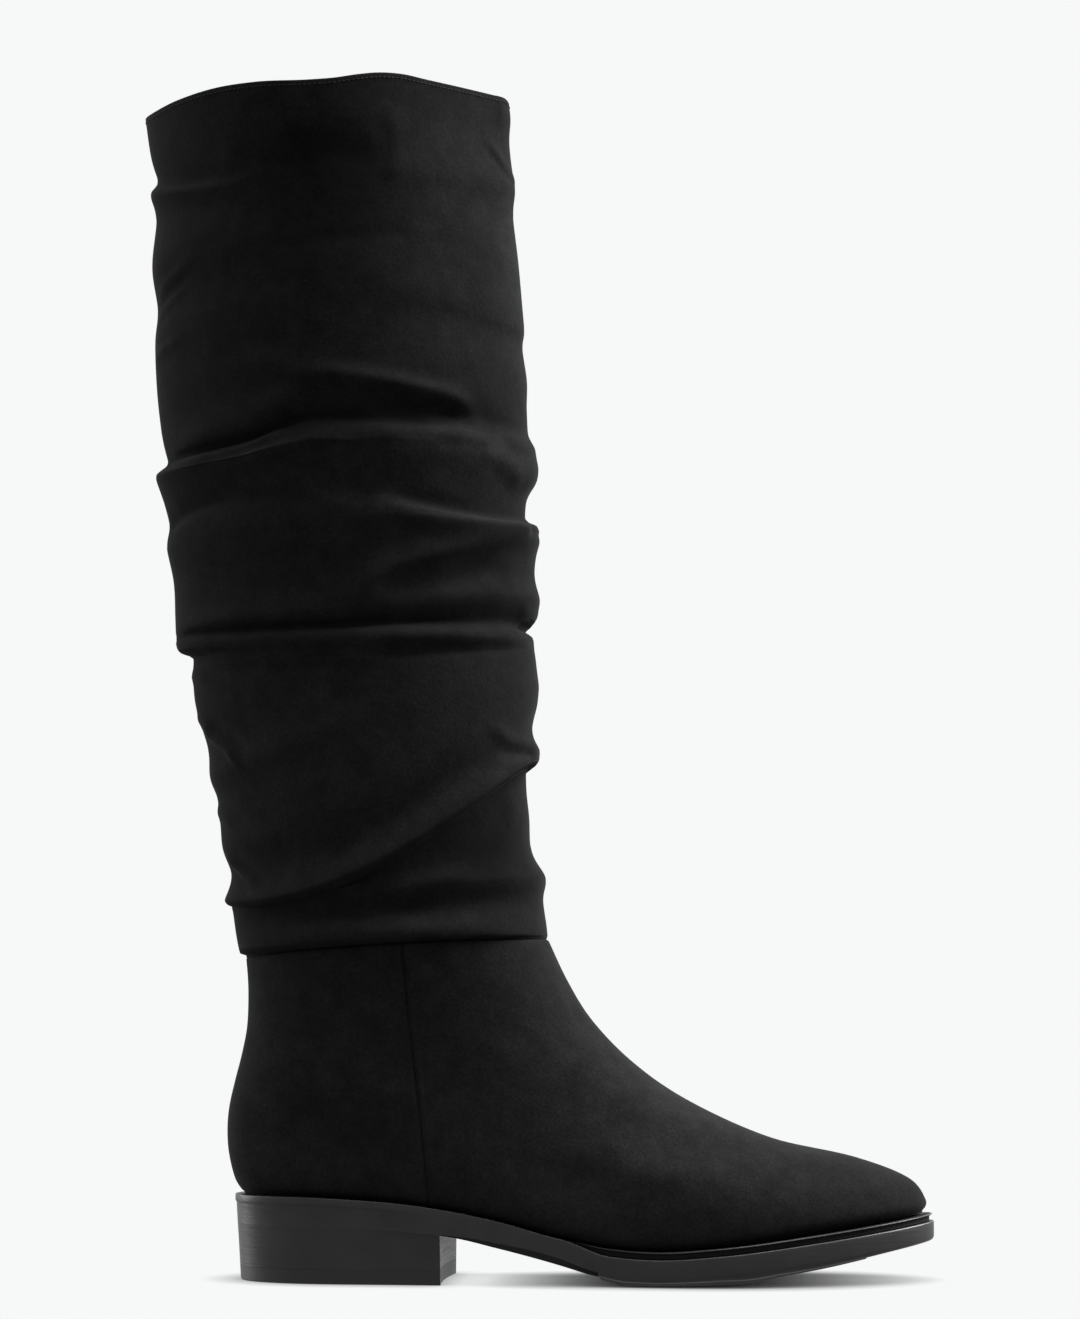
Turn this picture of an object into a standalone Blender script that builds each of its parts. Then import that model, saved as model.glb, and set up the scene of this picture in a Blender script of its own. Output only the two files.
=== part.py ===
"""Slouched over-the-knee boot for the right foot, standing empty on its heel and forefoot.

Every table and size below is in millimetres, and MM turns them into Blender's metres.
+X points from heel to toe, +Y to the inner (medial) side, +Z up.
The origin lies on the floor under the middle of the heel.
"""

import math
from bisect import bisect_right

import bmesh
import bpy
from mathutils import Vector

MM = 0.001

# Driving sizes
GAP = 0.3                # clearance between neighbouring pieces
SUEDE_WALL = 1.8         # suede with its backing and lining
WELT_THICKNESS = 2.6
WELT_REACH = 12.0        # how far the welt runs in under the upper
WELT_SETBACK = 0.7       # welt edge behind the edge of the outsole
WELT_START = 106.0       # x where the welt has come out of the waist
WELT_RUN = 18.0          # length over which it grows to full size
WELT_SHOWN = 0.6         # share of that length that is built
WELT_END_TAPER = 0.35    # share of its width that it loses at the ends
EDGE_ROUND = 0.8         # rounding of the upper edge of the outsole
LIP_HEIGHT = 2.6         # lip along the top of the outsole round the back of the heel
LIP_STEP = 0.45          # how far the lip stands proud
LIP_FADE = (0.0, 45.0)   # x over which the lip dies out towards the waist
INSOLE_THICKNESS = 3.0
INSOLE_MARGIN = 4.6      # insole edge behind the outside of the upper
BREAST_OUTER = 41.6      # x of the front face of the heel on the outer side
BREAST_INNER = 44.0      # and on the inner side
BREAST_HOLLOW = 1.4      # depth of the hollow in that face
TOP_LIFT_THICKNESS = 5.5
SEAM_TUCK_GAP = 0.35     # slit between shaft and foot at the ankle seam

# Tread of the forefoot: a thin plate with shallow grooves between its ribs
TREAD_START = 101.0
TREAD_RIBS = 12
TREAD_PITCH = 8.8
RIB_WIDTH = 6.4
RIB_HEIGHT = 1.3         # thickness of the plate
GROOVE_DEPTH = 0.55
RIB_FLANK = 0.5          # length of the slopes beside each groove
TREAD_MARGIN = 1.2       # the plate stops this far inside the bottom edge
GROOVE_MARGIN = 3.0      # and the grooves this far inside the plate
TREAD_END = TREAD_START + TREAD_PITCH * (TREAD_RIBS - 1) + RIB_WIDTH

# Mesh density
FOOT_HALF_STEPS = 22     # steps from heel to toe on each side
FOOT_LEVEL_STEPS = 18
SHAFT_HALF_STEPS = 17
SOLE_HALF_STEPS = 30
HEEL_HALF_STEPS = 12
BREAST_STEPS = 4
WELT_STEPS = 34
STATION_ROOM = 0.02      # least angle between a tread corner and an even step
SHARP_EDGE = 50          # degrees; gentler folds are shaded smooth


def columns(names, rows):
    """A table as one list for each named column."""
    return {name: [row[i] for row in rows] for i, name in enumerate(names.split())}


# Lines of the last along its length: height of the feather line, where upper meets
# sole, and how far the middle line swings sideways for the right foot
LAST = columns(
    "x feather swing",
    (
        (-45, 32.7, 1.2),
        (0, 32.2, 0.0),
        (35, 29.4, -1.8),
        (65, 23.9, -4.0),
        (85, 18.5, -4.2),
        (105, 14.6, -3.4),
        (125, 13.3, -2.4),
        (145, 14.6, -1.2),
        (185, 19.5, 1.6),
        (235, 26.5, 4.5),
    ),
)

# Underside of the sole: heel seat, arch, forefoot on the floor and toe spring
UNDERSIDE = columns(
    "x height",
    (
        (-45, 22.0),
        (0, 21.4),
        (42, 18.7),
        (64, 13.9),
        (88, 7.6),
        (101, 3.9),
        (113, 1.3),
        (152, 1.3),
        (173, 4.9),
        (192, 8.4),
        (211, 12.2),
        (232, 16.0),
    ),
)

# Bevel of the lower edge of the sole: none over the heel, broad under the waist
EDGE_BEVEL = columns(
    "x inset rise",
    (
        (-45, 0.0, 0.0),
        (44, 0.0, 0.0),
        (56, 2.6, 1.2),
        (82, 4.4, 2.6),
        (102, 1.4, 1.2),
        (120, 1.4, 1.0),
        (140, 2.0, 1.9),
        (156, 2.4, 3.0),
        (176, 2.2, 2.6),
        (197, 1.8, 1.8),
        (214, 1.4, 1.2),
        (235, 1.4, 1.2),
    ),
)

# Outlines seen from above. Each number is a half width divided by the sine of the
# angle there, so an ellipse has the same number in every column. The columns are
# thirty degrees apart, from the back of the heel (0) to the tip of the toe (180).
SPREAD_NAMES = "back heel seat waist ball toe tip"
SOLE_BACK, SOLE_FRONT = -39.8, 229.5
SOLE_SPREAD = (62.0, 52.0, 36.8, 35.5, 49.3, 50.5, 45.0)

# The foot of the upper, from the feather line up to the ankle seam: the two ends of
# each level, how closely the level follows the curve of the feather line, and how far
# it arches up at the sides
FOOT_LEVELS = columns(
    "back_x back_z front_x front_z follow arch",
    (
        (-36.5, 33.0, 225.6, 26.3, 1.00, 0.0),
        (-40.0, 38.5, 226.3, 30.8, 1.00, 0.0),
        (-42.4, 48.0, 219.6, 39.0, 0.97, 0.0),
        (-43.0, 57.0, 199.0, 47.0, 0.90, 0.0),
        (-42.3, 66.0, 167.0, 54.4, 0.78, 0.0),
        (-40.2, 76.0, 136.0, 68.0, 0.60, 0.0),
        (-37.6, 86.5, 114.0, 83.2, 0.40, 0.1),
        (-35.6, 97.5, 98.5, 99.0, 0.20, 0.3),
        (-35.3, 110.7, 88.5, 114.8, 0.07, 0.7),
        (-36.2, 124.0, 80.8, 131.2, 0.00, 1.2),
    ),
)

FOOT_SPREAD = columns(
    "level " + SPREAD_NAMES,
    (
        (0, 57.0, 48.0, 34.4, 34.2, 45.6, 45.0, 40.0),
        (1, 62.0, 51.0, 37.6, 36.8, 47.6, 48.5, 44.0),
        (3, 61.0, 49.0, 39.2, 34.6, 44.6, 43.0, 40.0),
        (5, 49.0, 45.0, 39.6, 33.8, 36.6, 44.0, 45.0),
        (7, 39.0, 40.0, 38.6, 36.8, 36.4, 37.5, 37.0),
        (9, 38.0, 39.5, 41.0, 41.5, 41.0, 39.5, 38.5),
    ),
)

# The shaft before it slouches: a tube that leans back and widens towards the collar
SHAFT_TUBE = columns(
    "z back_x front_x spread_back spread_side spread_front",
    (
        (124, -38.6, 80.0, 38.0, 43.0, 40.0),
        (150, -43.0, 78.0, 38.0, 45.0, 41.0),
        (180, -47.6, 74.6, 38.0, 47.0, 42.0),
        (212, -54.0, 74.6, 38.5, 49.0, 42.0),
        (244, -60.6, 75.4, 39.0, 51.0, 42.0),
        (290, -67.2, 75.0, 40.0, 53.0, 41.0),
        (320, -70.0, 73.6, 41.0, 54.5, 40.0),
        (360, -73.2, 71.6, 42.0, 56.5, 38.0),
        (410, -74.8, 68.0, 44.0, 59.0, 33.0),
        (462, -78.6, 65.4, 46.0, 62.0, 27.0),
    ),
)

# The slouch, from the ankle seam up to the collar: one row for each ridge, trough or
# crease, with its height at the back, the side and the front, and how far the wall
# stands out of the tube there. A fold that runs aslant has unlike heights.
SLOUCH = columns(
    "fold back side front out_back out_side out_front",
    (
        ("seam_tuck", 124.0, 128.8, 131.2, -2.4, -2.6, 0.9),
        ("seam_roll", 127.4, 131.4, 133.4, -0.5, 0.4, 1.2),
        ("base_roll", 133.0, 136.2, 138.0, 0.2, 1.6, 0.9),
        ("base_trough", 140.6, 143.2, 146.0, 0.0, -2.2, 0.3),
        ("low_ridge", 142.0, 147.6, 153.4, 0.2, -0.6, 2.5),
        ("low_rest", 143.2, 152.0, 166.0, 0.0, -1.2, -2.3),
        ("slant_under", 144.2, 156.2, 194.4, -1.0, -2.6, -2.3),
        ("slant_lip", 146.6, 160.2, 200.4, 2.7, 3.2, 3.2),
        ("slant_trough", 156.4, 172.0, 212.4, -2.0, -1.5, -0.2),
        ("calf_low", 167.0, 187.0, 222.0, 0.4, 0.4, 1.7),
        ("calf_wave", 183.6, 202.0, 228.0, -0.8, 0.2, 2.1),
        ("calf_swell", 192.6, 212.0, 232.0, 0.9, 0.8, 1.6),
        ("calf_high", 204.0, 221.0, 235.6, -0.8, 0.2, 1.1),
        ("band_low", 222.0, 231.0, 239.0, 0.9, 0.0, 0.7),
        ("band_under", 240.0, 237.0, 242.4, -2.2, -1.6, 0.2),
        ("band_lip", 241.9, 240.4, 244.4, 3.2, 1.8, 0.0),
        ("band_top", 244.6, 244.4, 246.8, 3.8, 2.7, -0.2),
        ("band_crease", 247.4, 247.8, 249.4, 3.4, -2.6, -2.1),
        ("roll_low", 258.0, 257.0, 260.4, 2.2, 1.4, 2.2),
        ("roll_middle", 270.0, 271.0, 272.4, 1.2, 0.6, -0.2),
        ("shelf_ridge", 283.0, 290.0, 290.6, 2.2, 1.3, 2.2),
        ("shelf_crease", 290.0, 296.6, 294.6, 0.1, -0.9, -3.3),
        ("knee_low", 302.0, 305.0, 302.4, 1.9, 0.2, -2.4),
        ("knee_roll", 310.6, 315.0, 313.8, 3.9, 2.4, 3.2),
        ("knee_lip", 314.6, 323.2, 321.0, 2.0, 3.0, 1.6),
        ("knee_crease", 316.9, 326.9, 326.0, -1.7, -3.6, -0.4),
        ("knee_above", 326.8, 337.0, 337.0, 0.0, 1.6, -0.5),
        ("thigh_low", 343.0, 352.0, 348.0, 0.7, 0.8, 0.1),
        ("thigh_wave", 364.0, 369.0, 361.4, 0.4, 0.0, -0.9),
        ("thigh_middle", 376.6, 381.0, 370.0, -1.0, -0.3, 0.5),
        ("thigh_swell", 394.0, 397.0, 394.0, 0.9, -0.8, 0.2),
        ("thigh_high", 413.8, 414.0, 414.6, -1.4, -1.2, -0.8),
        ("top_ridge", 423.2, 424.0, 425.0, 0.4, -1.2, 0.7),
        ("top_crease", 429.8, 431.0, 433.0, -2.1, -1.4, -0.2),
        ("top_rest", 440.0, 442.0, 444.0, -0.6, -0.6, -0.8),
        ("collar", 454.0, 457.6, 461.2, 0.4, 0.0, -0.2),
    ),
)
INNER_SIDE_LIFT = 3.5    # the folds sit a little higher on the inner side
INNER_SIDE_CALM = 0.8    # and stand out less

# Sides of the heel block, from the sole down, and of the top lift, down to the floor
HEEL_TAPER = 0.9         # inset of the heel's side where it meets the sole
HEEL_SIDE = columns("share inset", ((0.0, HEEL_TAPER), (0.5, 1.5), (1.0, 2.0)))
TOP_LIFT_SIDE = columns("z inset", ((TOP_LIFT_THICKNESS, 2.0), (0.6, 2.3), (0.0, 2.8)))

# Edge of the welt: inset from the edge of the sole, depth below the feather line
WELT_EDGE = columns(
    "inset depth",
    (
        (WELT_REACH, 0.0),
        (WELT_SETBACK + 0.4, 0.0),
        (WELT_SETBACK, 0.35),
        (WELT_SETBACK, 0.8),
        (WELT_SETBACK + 0.9, 1.3),
        (WELT_SETBACK + 0.6, WELT_THICKNESS),
        (WELT_REACH, WELT_THICKNESS),
    ),
)

# Finish of each piece: grey level of its black, roughness
FINISH = {
    "outsole": (0.020, 0.42),
    "welt": (0.010, 0.35),
    "heel": (0.020, 0.42),
    "top_lift": (0.015, 0.60),
    "insole": (0.018, 0.85),
    "upper": (0.012, 0.95),
    "shaft": (0.012, 0.95),
}


def curve(xs, ys, steady=False):
    """A smooth cubic through the points. A steady one never overshoots them."""
    rises = [(b - a) / (xs[i + 1] - xs[i]) for i, (a, b) in enumerate(zip(ys, ys[1:]))]
    slopes = [rises[0]]
    for i in range(1, len(xs) - 1):
        before, after = rises[i - 1], rises[i]
        left, right = xs[i] - xs[i - 1], xs[i + 1] - xs[i]
        if not steady:
            slopes.append((right * before + left * after) / (left + right))
        elif before * after <= 0:
            slopes.append(0.0)
        else:
            slopes.append(2 * before * after / (before + after))
    slopes.append(rises[-1])

    def value(x):
        i = min(max(bisect_right(xs, x) - 1, 0), len(xs) - 2)
        span = xs[i + 1] - xs[i]
        t = min(max((x - xs[i]) / span, 0.0), 1.0)
        start = (1 + 2 * t) * (1 - t) ** 2 * ys[i] + t * (1 - t) ** 2 * span * slopes[i]
        end = t * t * (3 - 2 * t) * ys[i + 1] + t * t * (t - 1) * span * slopes[i + 1]
        return start + end

    return value


def even_curve(values):
    """A curve over the angle from back (0) to front (pi), level at both ends."""
    step = math.pi / (len(values) - 1)
    angles = [step * i for i in range(-1, len(values) + 1)]
    return curve(angles, [values[1], *values, values[-2]])


feather_line = curve(LAST["x"], LAST["feather"])
swing_line = curve(LAST["x"], LAST["swing"])
underside_line = curve(UNDERSIDE["x"], UNDERSIDE["height"], steady=True)
bevel_inset = curve(EDGE_BEVEL["x"], EDGE_BEVEL["inset"], steady=True)
bevel_rise = curve(EDGE_BEVEL["x"], EDGE_BEVEL["rise"], steady=True)
sole_spread = even_curve(SOLE_SPREAD)


def fold_angle(angle):
    """Angles from pi to two pi lie on the inner side and mirror those of the outer."""
    angle %= 2 * math.pi
    return angle if angle <= math.pi else 2 * math.pi - angle


def smooth_step(low, high, x):
    t = min(max((x - low) / (high - low), 0.0), 1.0)
    return t * t * (3 - 2 * t)


# Outline of the sole

def sole_point(angle, inset=0.0):
    """A point of the outline, seen from above, moved inwards along its normal."""
    def edge(turn):
        share = (1 - math.cos(turn)) / 2
        x = SOLE_BACK + (SOLE_FRONT - SOLE_BACK) * share
        return Vector((x, swing_line(x) - sole_spread(fold_angle(turn)) * math.sin(turn)))

    nudge = 1e-4
    along = edge(angle + nudge) - edge(angle - nudge)
    outward = Vector((along.y, -along.x)).normalized()
    return edge(angle) - outward * inset


def angle_at(x):
    """The outline's angle at a given x."""
    share = (x - SOLE_BACK) / (SOLE_FRONT - SOLE_BACK)
    return math.acos(min(max(1 - 2 * share, -1.0), 1.0))


# Mesh building

def both_sides(half_angles):
    """A closed ring of angles: back, outer side, tip, and back along the inner side."""
    return [*half_angles, *(2 * math.pi - a for a in reversed(half_angles[1:-1]))]


def new_object(name, mesh_builder, material, parent):
    mesh = bpy.data.meshes.new(name)
    mesh_builder.normal_update()
    mesh_builder.to_mesh(mesh)
    mesh_builder.free()
    mesh.shade_smooth()
    mesh.set_sharp_from_angle(angle=math.radians(SHARP_EDGE))
    mesh.materials.append(material)
    made = bpy.data.objects.new(name, mesh)
    made.parent = parent
    bpy.context.scene.collection.objects.link(made)
    return made


def add_ring(builder, points):
    return [builder.verts.new(Vector(p) * MM) for p in points]


def join_rings(builder, lower, upper):
    """Quads between two rings, facing out where the rings run anticlockwise from above."""
    for i in range(len(lower)):
        builder.faces.new((lower[i - 1], lower[i], upper[i], upper[i - 1]))


def cap_across(builder, ring, strips, up):
    """Closes a ring: strips from side to side, starting at the heel, then one last face."""
    tip = [ring[0], ring[1], ring[-1]]
    bands = [[ring[i], ring[i + 1], ring[-i - 1], ring[-i]] for i in range(1, strips)]
    rest = ring[strips:len(ring) - strips + 1]
    for corners in [tip, *bands, rest]:
        builder.faces.new(corners if up else corners[::-1])


def stack_solid(name, rings, strips, material, parent):
    """A closed solid from rings listed from the top down, capped at both ends."""
    builder = bmesh.new()
    loops = [add_ring(builder, ring) for ring in rings]
    for upper, lower in zip(loops, loops[1:]):
        join_rings(builder, lower, upper)
    cap_across(builder, loops[0], strips, up=True)
    cap_across(builder, loops[-1], strips, up=False)
    return new_object(name, builder, material, parent)


def hollow_solid(name, rings, wall, material, parent):
    """A tube from rings listed from the bottom up, thickened inwards."""
    builder = bmesh.new()
    loops = [add_ring(builder, ring) for ring in rings]
    for lower, upper in zip(loops, loops[1:]):
        join_rings(builder, lower, upper)
    made = new_object(name, builder, material, parent)
    solidify = made.modifiers.new("wall", "SOLIDIFY")
    solidify.thickness = wall * MM
    solidify.offset = -1.0
    solidify.use_rim = True
    return made


# Upper

foot_line = {
    name: curve(list(range(len(values))), values) for name, values in FOOT_LEVELS.items()
}
foot_spread = {
    name: curve(FOOT_SPREAD["level"], FOOT_SPREAD[name]) for name in SPREAD_NAMES.split()
}
FOOT_TOP = len(FOOT_LEVELS["back_x"]) - 1


def foot_ring(level, angles):
    """One level of the foot of the upper, as a closed ring."""
    back_x, back_z, front_x, front_z, follow, arch = (
        line(level) for line in foot_line.values()
    )
    spread = even_curve([foot_spread[name](level) for name in SPREAD_NAMES.split()])
    swing_left = 1 - smooth_step(2, FOOT_TOP, level)
    ring = []
    for angle in angles:
        share = (1 - math.cos(angle)) / 2
        x = back_x + (front_x - back_x) * share
        y = swing_line(x) * swing_left - spread(fold_angle(angle)) * math.sin(angle)
        rise_back = back_z - follow * feather_line(back_x)
        rise_front = front_z - follow * feather_line(front_x)
        z = follow * feather_line(x) + rise_back + (rise_front - rise_back) * share
        z += arch * math.sin(angle) ** 2
        ring.append((x, y, z))
    return ring


def build_upper(material, parent):
    half = [math.pi * i / FOOT_HALF_STEPS for i in range(FOOT_HALF_STEPS + 1)]
    levels = [FOOT_TOP * i / FOOT_LEVEL_STEPS for i in range(FOOT_LEVEL_STEPS + 1)]
    rings = [foot_ring(level, both_sides(half)) for level in levels]
    return hollow_solid("upper", rings, SUEDE_WALL, material, parent)


# Shaft

tube_line = {
    name: curve(SHAFT_TUBE["z"], SHAFT_TUBE[name]) for name in SHAFT_TUBE if name != "z"
}


def through(back, side, front, forward):
    """A parabola over the depth of the shaft: forward is -1 at the back, 1 at the front."""
    return side + (front - back) / 2 * forward + ((front + back) / 2 - side) * forward**2


def shaft_ring(row, angles):
    """The ring of one row of the slouch table."""
    back, side, front = (SLOUCH[name][row] for name in ("back", "side", "front"))
    outs = [SLOUCH[name][row] for name in ("out_back", "out_side", "out_front")]
    back_x, front_x = tube_line["back_x"](back), tube_line["front_x"](front)
    spreads = [tube_line["spread_" + end](side) for end in ("back", "side", "front")]
    from_ends = min(row, len(SLOUCH["fold"]) - 1 - row)
    lift = INNER_SIDE_LIFT * smooth_step(0, 4, from_ends)
    ring = []
    for angle in angles:
        forward = -math.cos(angle)
        inner = max(0.0, -math.sin(angle)) ** 2
        half_x = (front_x - back_x) / 2
        spread = through(*spreads, forward)
        normal = Vector((forward * spread, -math.sin(angle) * half_x)).normalized()
        out = through(*outs, forward) * (1 - (1 - INNER_SIDE_CALM) * inner)
        x = (front_x + back_x) / 2 + half_x * forward + normal.x * out
        y = -spread * math.sin(angle) + normal.y * out
        z = through(back, side, front, forward) + lift * inner
        ring.append((x, y, z + SEAM_TUCK_GAP))
    return ring


def build_shaft(material, parent):
    half = [math.pi * i / SHAFT_HALF_STEPS for i in range(SHAFT_HALF_STEPS + 1)]
    rings = [shaft_ring(row, both_sides(half)) for row in range(len(SLOUCH["fold"]))]
    return hollow_solid("shaft", rings, SUEDE_WALL, material, parent)


# Sole, welt and insole

def plate_height(x):
    """Thickness of the tread's plate at x, sloped at both ends, none outside it."""
    slope = min(x - TREAD_START, TREAD_END - x) / RIB_FLANK
    return RIB_HEIGHT * min(max(slope, 0.0), 1.0)


def tread_height(x):
    """The same with its grooves: full on a rib, less in a groove."""
    place = (x - TREAD_START) % TREAD_PITCH
    on_rib = min(max(min(place, RIB_WIDTH - place) / RIB_FLANK, 0.0), 1.0)
    return min(plate_height(x), RIB_HEIGHT - GROOVE_DEPTH * (1 - on_rib))


def sole_half_angles():
    """Even steps round the outline, with the corners of the tread ribs added."""
    even = [math.pi * i / SOLE_HALF_STEPS for i in range(SOLE_HALF_STEPS + 1)]
    corners = (0.0, RIB_FLANK, RIB_WIDTH - RIB_FLANK, RIB_WIDTH)
    rib_xs = [TREAD_START + TREAD_PITCH * n + c for n in range(TREAD_RIBS) for c in corners]
    rib_angles = [angle_at(x) for x in rib_xs]
    kept = [a for a in even if all(abs(a - r) > STATION_ROOM for r in rib_angles)]
    return sorted(kept + rib_angles)


def welt_size(x):
    """0 behind the welt, 1 where it has its full size."""
    return smooth_step(WELT_START - WELT_RUN, WELT_START, x)


def sole_ring(angles, inset, height):
    """A ring of the sole. A point's station is the x it has on the outline."""
    ring = []
    for angle in angles:
        station = sole_point(angle).x
        spot = sole_point(angle, inset(station))
        ring.append((spot.x, spot.y, height(spot.x, station)))
    return ring


def build_outsole(material, parent):
    angles = both_sides(sole_half_angles())

    def top(x, station):
        return feather_line(x)

    def shelf(x, station):
        return feather_line(x) - (WELT_THICKNESS + GAP) * welt_size(station)

    def lip_top(x, station):
        return shelf(x, station) - EDGE_ROUND

    def lip_bottom(x, station):
        return shelf(x, station) - LIP_HEIGHT

    def lip_foot(x, station):
        return lip_bottom(x, station) - LIP_STEP

    def bevel_top(x, station):
        return underside_line(x) + bevel_rise(station) + EDGE_ROUND / 2

    def bottom(x, station):
        return underside_line(x)

    def plate(x, station):
        return underside_line(x) - plate_height(station)

    def tread(x, station):
        return underside_line(x) - tread_height(station)

    def at_heel(station):
        return 1 - smooth_step(*LIP_FADE, station)

    def lower_edge(station):
        return bevel_inset(station) + HEEL_TAPER * at_heel(station)

    def plate_edge(station):
        return lower_edge(station) + TREAD_MARGIN + RIB_FLANK

    rows = (
        (lambda station: WELT_REACH + 2 * GAP, top),
        (lambda station: WELT_REACH + GAP, shelf),
        (lambda station: EDGE_ROUND, shelf),
        (lambda station: 0.0, lip_top),
        (lambda station: 0.0, lip_bottom),
        (lambda station: LIP_STEP * at_heel(station), lip_foot),
        (lambda station: HEEL_TAPER * at_heel(station), bevel_top),
        (lower_edge, bottom),
        (lambda station: lower_edge(station) + TREAD_MARGIN, bottom),
        (plate_edge, plate),
        (lambda station: plate_edge(station) + GROOVE_MARGIN, tread),
    )
    rings = [sole_ring(angles, inset, height) for inset, height in rows]
    return stack_solid("outsole", rings, len(angles) // 2 - 1, material, parent)


def build_welt(material, parent):
    """A strip round the forefoot, under the edge of the upper, with a grooved edge."""
    start = angle_at(WELT_START - WELT_RUN * WELT_SHOWN)
    turn = (2 * math.pi - 2 * start) / WELT_STEPS
    angles = [start + turn * i for i in range(WELT_STEPS + 1)]
    builder = bmesh.new()
    loops = []
    for angle in angles:
        size = welt_size(sole_point(angle).x)
        loop = []
        for inset, depth in zip(WELT_EDGE["inset"], WELT_EDGE["depth"]):
            drawn_in = inset + (WELT_REACH - inset) * WELT_END_TAPER * (1 - size)
            spot = sole_point(angle, drawn_in)
            loop.append((spot.x, spot.y, feather_line(spot.x) - depth * size))
        loops.append(add_ring(builder, loop))
    for before, after in zip(loops, loops[1:]):
        join_rings(builder, before, after)
    builder.faces.new(loops[0][::-1])
    builder.faces.new(loops[-1])
    return new_object("welt", builder, material, parent)


def build_insole(material, parent):
    half = [math.pi * i / SOLE_HALF_STEPS for i in range(SOLE_HALF_STEPS + 1)]
    outline = foot_ring(0, both_sides(half))
    rings = []
    for lift in (INSOLE_THICKNESS, 0.0):
        ring = []
        for i, (x, y, _) in enumerate(outline):
            ahead, behind = outline[(i + 1) % len(outline)], outline[i - 1]
            outward = Vector((ahead[1] - behind[1], behind[0] - ahead[0])).normalized()
            spot = Vector((x, y)) - outward * INSOLE_MARGIN
            ring.append((spot.x, spot.y, feather_line(spot.x) + GAP + lift))
        rings.append(ring)
    return stack_solid("insole", rings, SOLE_HALF_STEPS - 1, material, parent)


# Heel

def heel_ring(inset, height):
    """A D-shaped ring: round the back of the sole, then across the hollow breast."""
    sides = []
    for breast, turn in ((BREAST_OUTER, 1), (BREAST_INNER, -1)):
        corner = angle_at(breast) * turn
        steps = range(HEEL_HALF_STEPS + 1)
        sides.append([sole_point(corner * i / HEEL_HALF_STEPS, inset) for i in steps])
    outer, inner = sides
    face = []
    for i in range(1, BREAST_STEPS):
        share = i / BREAST_STEPS
        spot = outer[-1].lerp(inner[-1], share)
        spot.x -= BREAST_HOLLOW * 4 * share * (1 - share)
        face.append(spot)
    return [(p.x, p.y, height(p.x)) for p in [*outer, *face, *inner[:0:-1]]]


def heel_level(share):
    """Height over x of a level of the heel: 0 under the sole, 1 on the top lift."""
    bottom = TOP_LIFT_THICKNESS + GAP

    def height(x):
        top = underside_line(x) - GAP
        return top + (bottom - top) * share

    return height


def build_heel(material, parent):
    sides = zip(HEEL_SIDE["share"], HEEL_SIDE["inset"])
    rings = [heel_ring(inset, heel_level(share)) for share, inset in sides]
    return stack_solid("heel", rings, HEEL_HALF_STEPS - 1, material, parent)


def build_top_lift(material, parent):
    sides = zip(TOP_LIFT_SIDE["z"], TOP_LIFT_SIDE["inset"])
    rings = [heel_ring(inset, lambda x, z=z: z) for z, inset in sides]
    return stack_solid("top_lift", rings, HEEL_HALF_STEPS - 1, material, parent)


# Materials

def make_material(piece):
    grey, roughness = FINISH[piece]
    made = bpy.data.materials.new(piece + "_black")
    made.use_nodes = True
    shader = made.node_tree.nodes["Principled BSDF"]
    shader.inputs["Base Color"].default_value = (grey, grey, grey, 1.0)
    shader.inputs["Roughness"].default_value = roughness
    shader.inputs["Metallic"].default_value = 0.0
    return made


def main():
    for old in list(bpy.data.objects):
        bpy.data.objects.remove(old)
    boot = bpy.data.objects.new("boot", None)
    bpy.context.scene.collection.objects.link(boot)
    build_outsole(make_material("outsole"), boot)
    build_welt(make_material("welt"), boot)
    build_heel(make_material("heel"), boot)
    build_top_lift(make_material("top_lift"), boot)
    build_insole(make_material("insole"), boot)
    build_upper(make_material("upper"), boot)
    build_shaft(make_material("shaft"), boot)


main()
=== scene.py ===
"""Looks of the slouched boot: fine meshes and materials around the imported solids.

Sizes are in millimetres, as in the part's source, and MM turns them into metres. Only the
grain of the materials and the stage are in metres.
+X points from heel to toe, +Y to the inner side, +Z up. A turn runs round a ring:
0 at the back, 90 degrees on the outer side, 180 at the front, 270 on the inner side.
"""

import math

import bpy
import numpy as np
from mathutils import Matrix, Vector, noise


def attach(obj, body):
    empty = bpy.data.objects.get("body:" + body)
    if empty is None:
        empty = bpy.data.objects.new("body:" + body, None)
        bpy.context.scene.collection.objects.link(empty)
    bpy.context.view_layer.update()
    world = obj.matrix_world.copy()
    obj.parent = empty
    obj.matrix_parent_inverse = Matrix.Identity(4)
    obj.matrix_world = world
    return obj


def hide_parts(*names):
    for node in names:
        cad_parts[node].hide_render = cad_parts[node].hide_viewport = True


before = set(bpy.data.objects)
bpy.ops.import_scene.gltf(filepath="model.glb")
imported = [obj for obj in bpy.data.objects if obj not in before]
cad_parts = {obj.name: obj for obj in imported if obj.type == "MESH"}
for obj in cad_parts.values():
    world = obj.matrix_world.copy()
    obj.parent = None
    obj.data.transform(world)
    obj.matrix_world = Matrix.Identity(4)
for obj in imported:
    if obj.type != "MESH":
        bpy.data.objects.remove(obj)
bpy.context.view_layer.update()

MM = 0.001

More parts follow.
